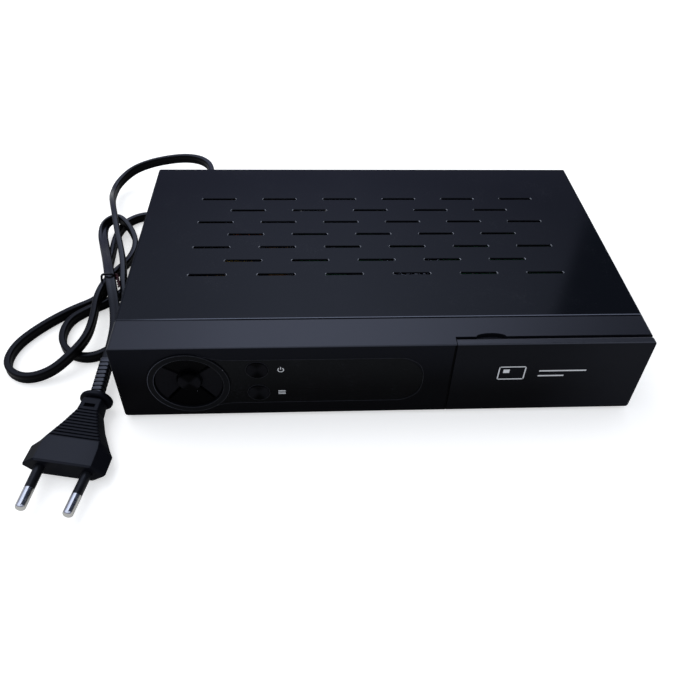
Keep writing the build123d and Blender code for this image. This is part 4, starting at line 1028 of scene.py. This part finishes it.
def make_plug():
    """The six-sided moulding, which narrows from its front to its neck, with a slot in its top."""
    bm = bmesh.new()
    verts = bmesh.ops.create_circle(bm, segments=6, radius=1.0, cap_ends=True)["verts"]
    rotated(bm, verts, 90, "X")
    rotated(bm, verts, 30, "Y")
    bmesh.ops.scale(bm, vec=(1, 1, 1 / sin(radians(60))), verts=verts)
    for corners, last, station in grown_through(bm, (1.0, 2.0, 2.0), plug_stations()):
        flat, ridge, thick = (new / old for new, old in zip(station[1:], last[1:]))
        ridges = [v for v in corners if abs(v.co.z) < 0.3]
        flats = [v for v in corners if abs(v.co.z) >= 0.3]
        bmesh.ops.scale(bm, vec=(ridge, 1, 1), verts=ridges)
        bmesh.ops.scale(bm, vec=(flat, 1, thick), verts=flats)
    rounded_lengthwise(bm, 0.4, 2)
    bmesh.ops.recalc_face_normals(bm, faces=bm.faces)
    slot_faces = [f for f in bm.faces if f.normal.z > 0.97 and abs(f.calc_center_median().x) < 0.5
                  and all(SLOT_SPAN[0] - 0.05 < v.co.y < SLOT_SPAN[1] + 0.05 for v in f.verts)]
    bmesh.ops.inset_individual(bm, faces=slot_faces, thickness=SLOT_INSET, depth=0.0, use_even_offset=True)
    corners = list({corner for face in slot_faces for corner in face.verts})
    bmesh.ops.scale(bm, vec=(SLOT_NARROWING, 1, 1), verts=corners)
    bmesh.ops.inset_individual(bm, faces=slot_faces, thickness=SLOT_WALL, depth=-SLOT_DEPTH,
                               use_even_offset=True)
    laid_in_line(bm)
    return finished_piece(bm, "plug_moulding", "plug_plastic", replaced=("plug_body",), sharp=14.0)


def make_plug_collar():
    """The round collar between the plug and its cord boot."""
    bm = bmesh.new()
    corners = [bm.verts.new((radius, height, 0)) for radius, height in COLLAR_PROFILE]
    edges = [bm.edges.new(pair) for pair in zip(corners, corners[1:])]
    bmesh.ops.spin(bm, geom=corners + edges, cent=(0, 0, 0), axis=(0, 1, 0), angle=2 * pi, steps=56,
                   use_merge=True)
    bmesh.ops.scale(bm, vec=(1, 1, COLLAR_FLATNESS), verts=bm.verts)
    bmesh.ops.translate(bm, vec=(0, COLLAR_Y, 0), verts=bm.verts)
    laid_in_line(bm)
    return finished_piece(bm, "plug_collar", "plug_plastic", sharp=50.0)


def make_boot():
    """The square, notched boot round the cord, along the cord's last run."""
    widths = [(0.0, 4.9), (0.3, BOOT_WIDE)]
    for k in range(BOOT_NOTCHES):
        start = BOOT_FIRST_NOTCH + k * BOOT_PITCH
        end = start + BOOT_NOTCH
        widths += [(start, BOOT_WIDE), (start + BOOT_WALL, BOOT_NARROW), (end - BOOT_WALL, BOOT_NARROW),
                   (end, BOOT_WIDE)]
    widths += [(BOOT_LENGTH, 5.5)]
    bm = bmesh.new()
    verts = bmesh.ops.create_circle(bm, segments=4, radius=sqrt(0.5), cap_ends=True)["verts"]
    rotated(bm, verts, 45, "Z")
    rotated(bm, verts, 90, "X")
    for corners, last, station in grown_through(bm, (1.0,), widths):
        grow = station[1] / last[1]
        bmesh.ops.scale(bm, vec=(grow, 1, grow), verts=corners)
    rounded_lengthwise(bm, 1.0, 3)
    inward = (Vector(BOOT_TIP) - Vector(CORD_ROUTE[-2])).normalized()
    rise = (Vector((0, 0, 1)) - inward * inward.z).normalized()
    turn = Matrix((inward.cross(rise), inward, rise)).transposed()
    bmesh.ops.rotate(bm, cent=(0, 0, 0), matrix=turn, verts=bm.verts)
    bmesh.ops.translate(bm, vec=BOOT_TIP, verts=bm.verts)
    return finished_piece(bm, "cord_boot", "boot_plastic", sharp=35.0)


for make_trim in (make_window_trim, make_ring_trim, make_button_trim, make_key_marks, make_door_marks,
                  make_vent_lips):
    make_trim()
lead = make_cord()
plug = make_plug()
collar = make_plug_collar()
boot = make_boot()
tie = make_tie()


# ---------------------------------------------------------------- studio, in metres

AMBIENT = (0.68, 0.71, 0.76, 1.0)
WALL_LOW = (0.4, 0.43, 0.69, 1.0)
WALL_HIGH = (1.7, 1.92, 2.6, 1.0)
WALL_END = radians(25.9)
WALL_BLUR = 0.012
BEYOND_WALL = (0.05, 0.07, 0.14, 1.0)
MIRRORED_FLOOR = (0.55, 0.58, 0.65, 1.0)
FLOOR_REACH = 6.0
FLOOR_Z = -0.0002
LAMP_AT = (-0.7, 0.5, 1.3)
LAMP_TARGET = (0, 0, 0.02)
LAMP_SIZE = 1.2
SENSOR = 36.0
FRAME_PIXELS = 699
FOCAL_PIXELS = 679.2
CAMERA_AT = (-0.0299, -0.2668, 0.2270)
CAMERA_TURNS = ((-4.4, "Z"), (45.8, "X"), (2.29, "Z"))


def make_world():
    """White to the camera, plain pale light on the object, and a wall in what the gloss mirrors."""
    world = bpy.data.worlds.new("studio_air")
    world.use_nodes = True
    bpy.context.scene.world = world
    tree = world.node_tree
    tree.nodes.clear()
    path = add(tree, "ShaderNodeLightPath").outputs
    seen = maths(tree, "MAXIMUM", path["Is Camera Ray"], path["Is Glossy Ray"])
    seen = maths(tree, "MAXIMUM", seen, path["Is Transmission Ray"])
    axes = axes_of(tree, add(tree, "ShaderNodeTexCoord").outputs["Generated"])
    azimuth = maths(tree, "ARCTAN2", axes["X"], axes["Y"])
    beyond = times(tree, spread(tree, azimuth, WALL_END - WALL_BLUR, WALL_END + WALL_BLUR, smooth=True),
                   spread(tree, azimuth, radians(75), radians(80), 1.0, 0.0))
    falloff = times(tree, spread(tree, azimuth, radians(4), radians(26), 1.0, 0.52),
                    spread(tree, azimuth, radians(-20), radians(-2), 0.7, 1.0, smooth=True))
    wall = blended(tree, spread(tree, axes["Z"], 0.5, 0.7), WALL_LOW, WALL_HIGH)
    wall = scaled(tree, blended(tree, beyond, wall, BEYOND_WALL), falloff)
    above_floor = spread(tree, axes["Z"], 0.2, 0.3, smooth=True)
    mirrored = blended(tree, above_floor, MIRRORED_FLOOR, wall)
    shown = blended(tree, path["Is Glossy Ray"], WHITE, mirrored)
    background = add(tree, "ShaderNodeBackground")
    feed(tree, background.inputs["Color"], blended(tree, seen, AMBIENT, shown))
    background.inputs["Strength"].default_value = 1.0
    out = add(tree, "ShaderNodeOutputWorld")
    feed(tree, out.inputs["Surface"], background.outputs[0])


def make_floor():
    """A wide white floor, which glows a little for the camera alone."""
    bm = bmesh.new()
    bmesh.ops.create_grid(bm, x_segments=2, y_segments=2, size=FLOOR_REACH)
    bmesh.ops.translate(bm, vec=(0, 0, FLOOR_Z), verts=bm.verts)
    mesh = mesh_of(bm, "floor")
    floor = placed("floor", mesh)
    material, tree, shader = new_material("floor_white")
    seen = add(tree, "ShaderNodeLightPath").outputs["Is Camera Ray"]
    shader.inputs["Base Color"].default_value = (0.8, 0.8, 0.8, 1.0)
    shader.inputs["Roughness"].default_value = 0.9
    shader.inputs["Specular IOR Level"].default_value = 0.1
    shader.inputs["Emission Color"].default_value = WHITE
    feed(tree, shader.inputs["Emission Strength"], times(tree, seen, 0.5))
    mesh.materials.append(material)


def make_lamp():
    """A large soft lamp above and behind, which no gloss mirrors."""
    light = bpy.data.lights.new("key_softbox", "AREA")
    light.shape = "RECTANGLE"
    light.size, light.size_y = LAMP_SIZE, LAMP_SIZE
    light.energy = 9.0
    light.color = (1.0, 0.99, 0.97)
    lamp = placed("key_softbox", light)
    lamp.location = LAMP_AT
    lamp.rotation_euler = (Vector(LAMP_TARGET) - Vector(LAMP_AT)).to_track_quat("-Z", "Y").to_euler()
    lamp.visible_glossy = False


def make_camera():
    data = bpy.data.cameras.new("camera")
    data.sensor_width = SENSOR
    data.lens = FOCAL_PIXELS / FRAME_PIXELS * SENSOR
    data.clip_start = 0.01
    data.clip_end = 50.0
    camera = placed("camera", data)
    turn = Matrix.Identity(3)
    for degrees, axis in CAMERA_TURNS:
        turn = turn @ Matrix.Rotation(radians(degrees), 3, axis)
    camera.matrix_world = Matrix.Translation(CAMERA_AT) @ turn.to_4x4()
    bpy.context.scene.camera = camera


make_world()
make_floor()
make_lamp()
make_camera()

scene = bpy.context.scene
scene.view_settings.view_transform = "Standard"
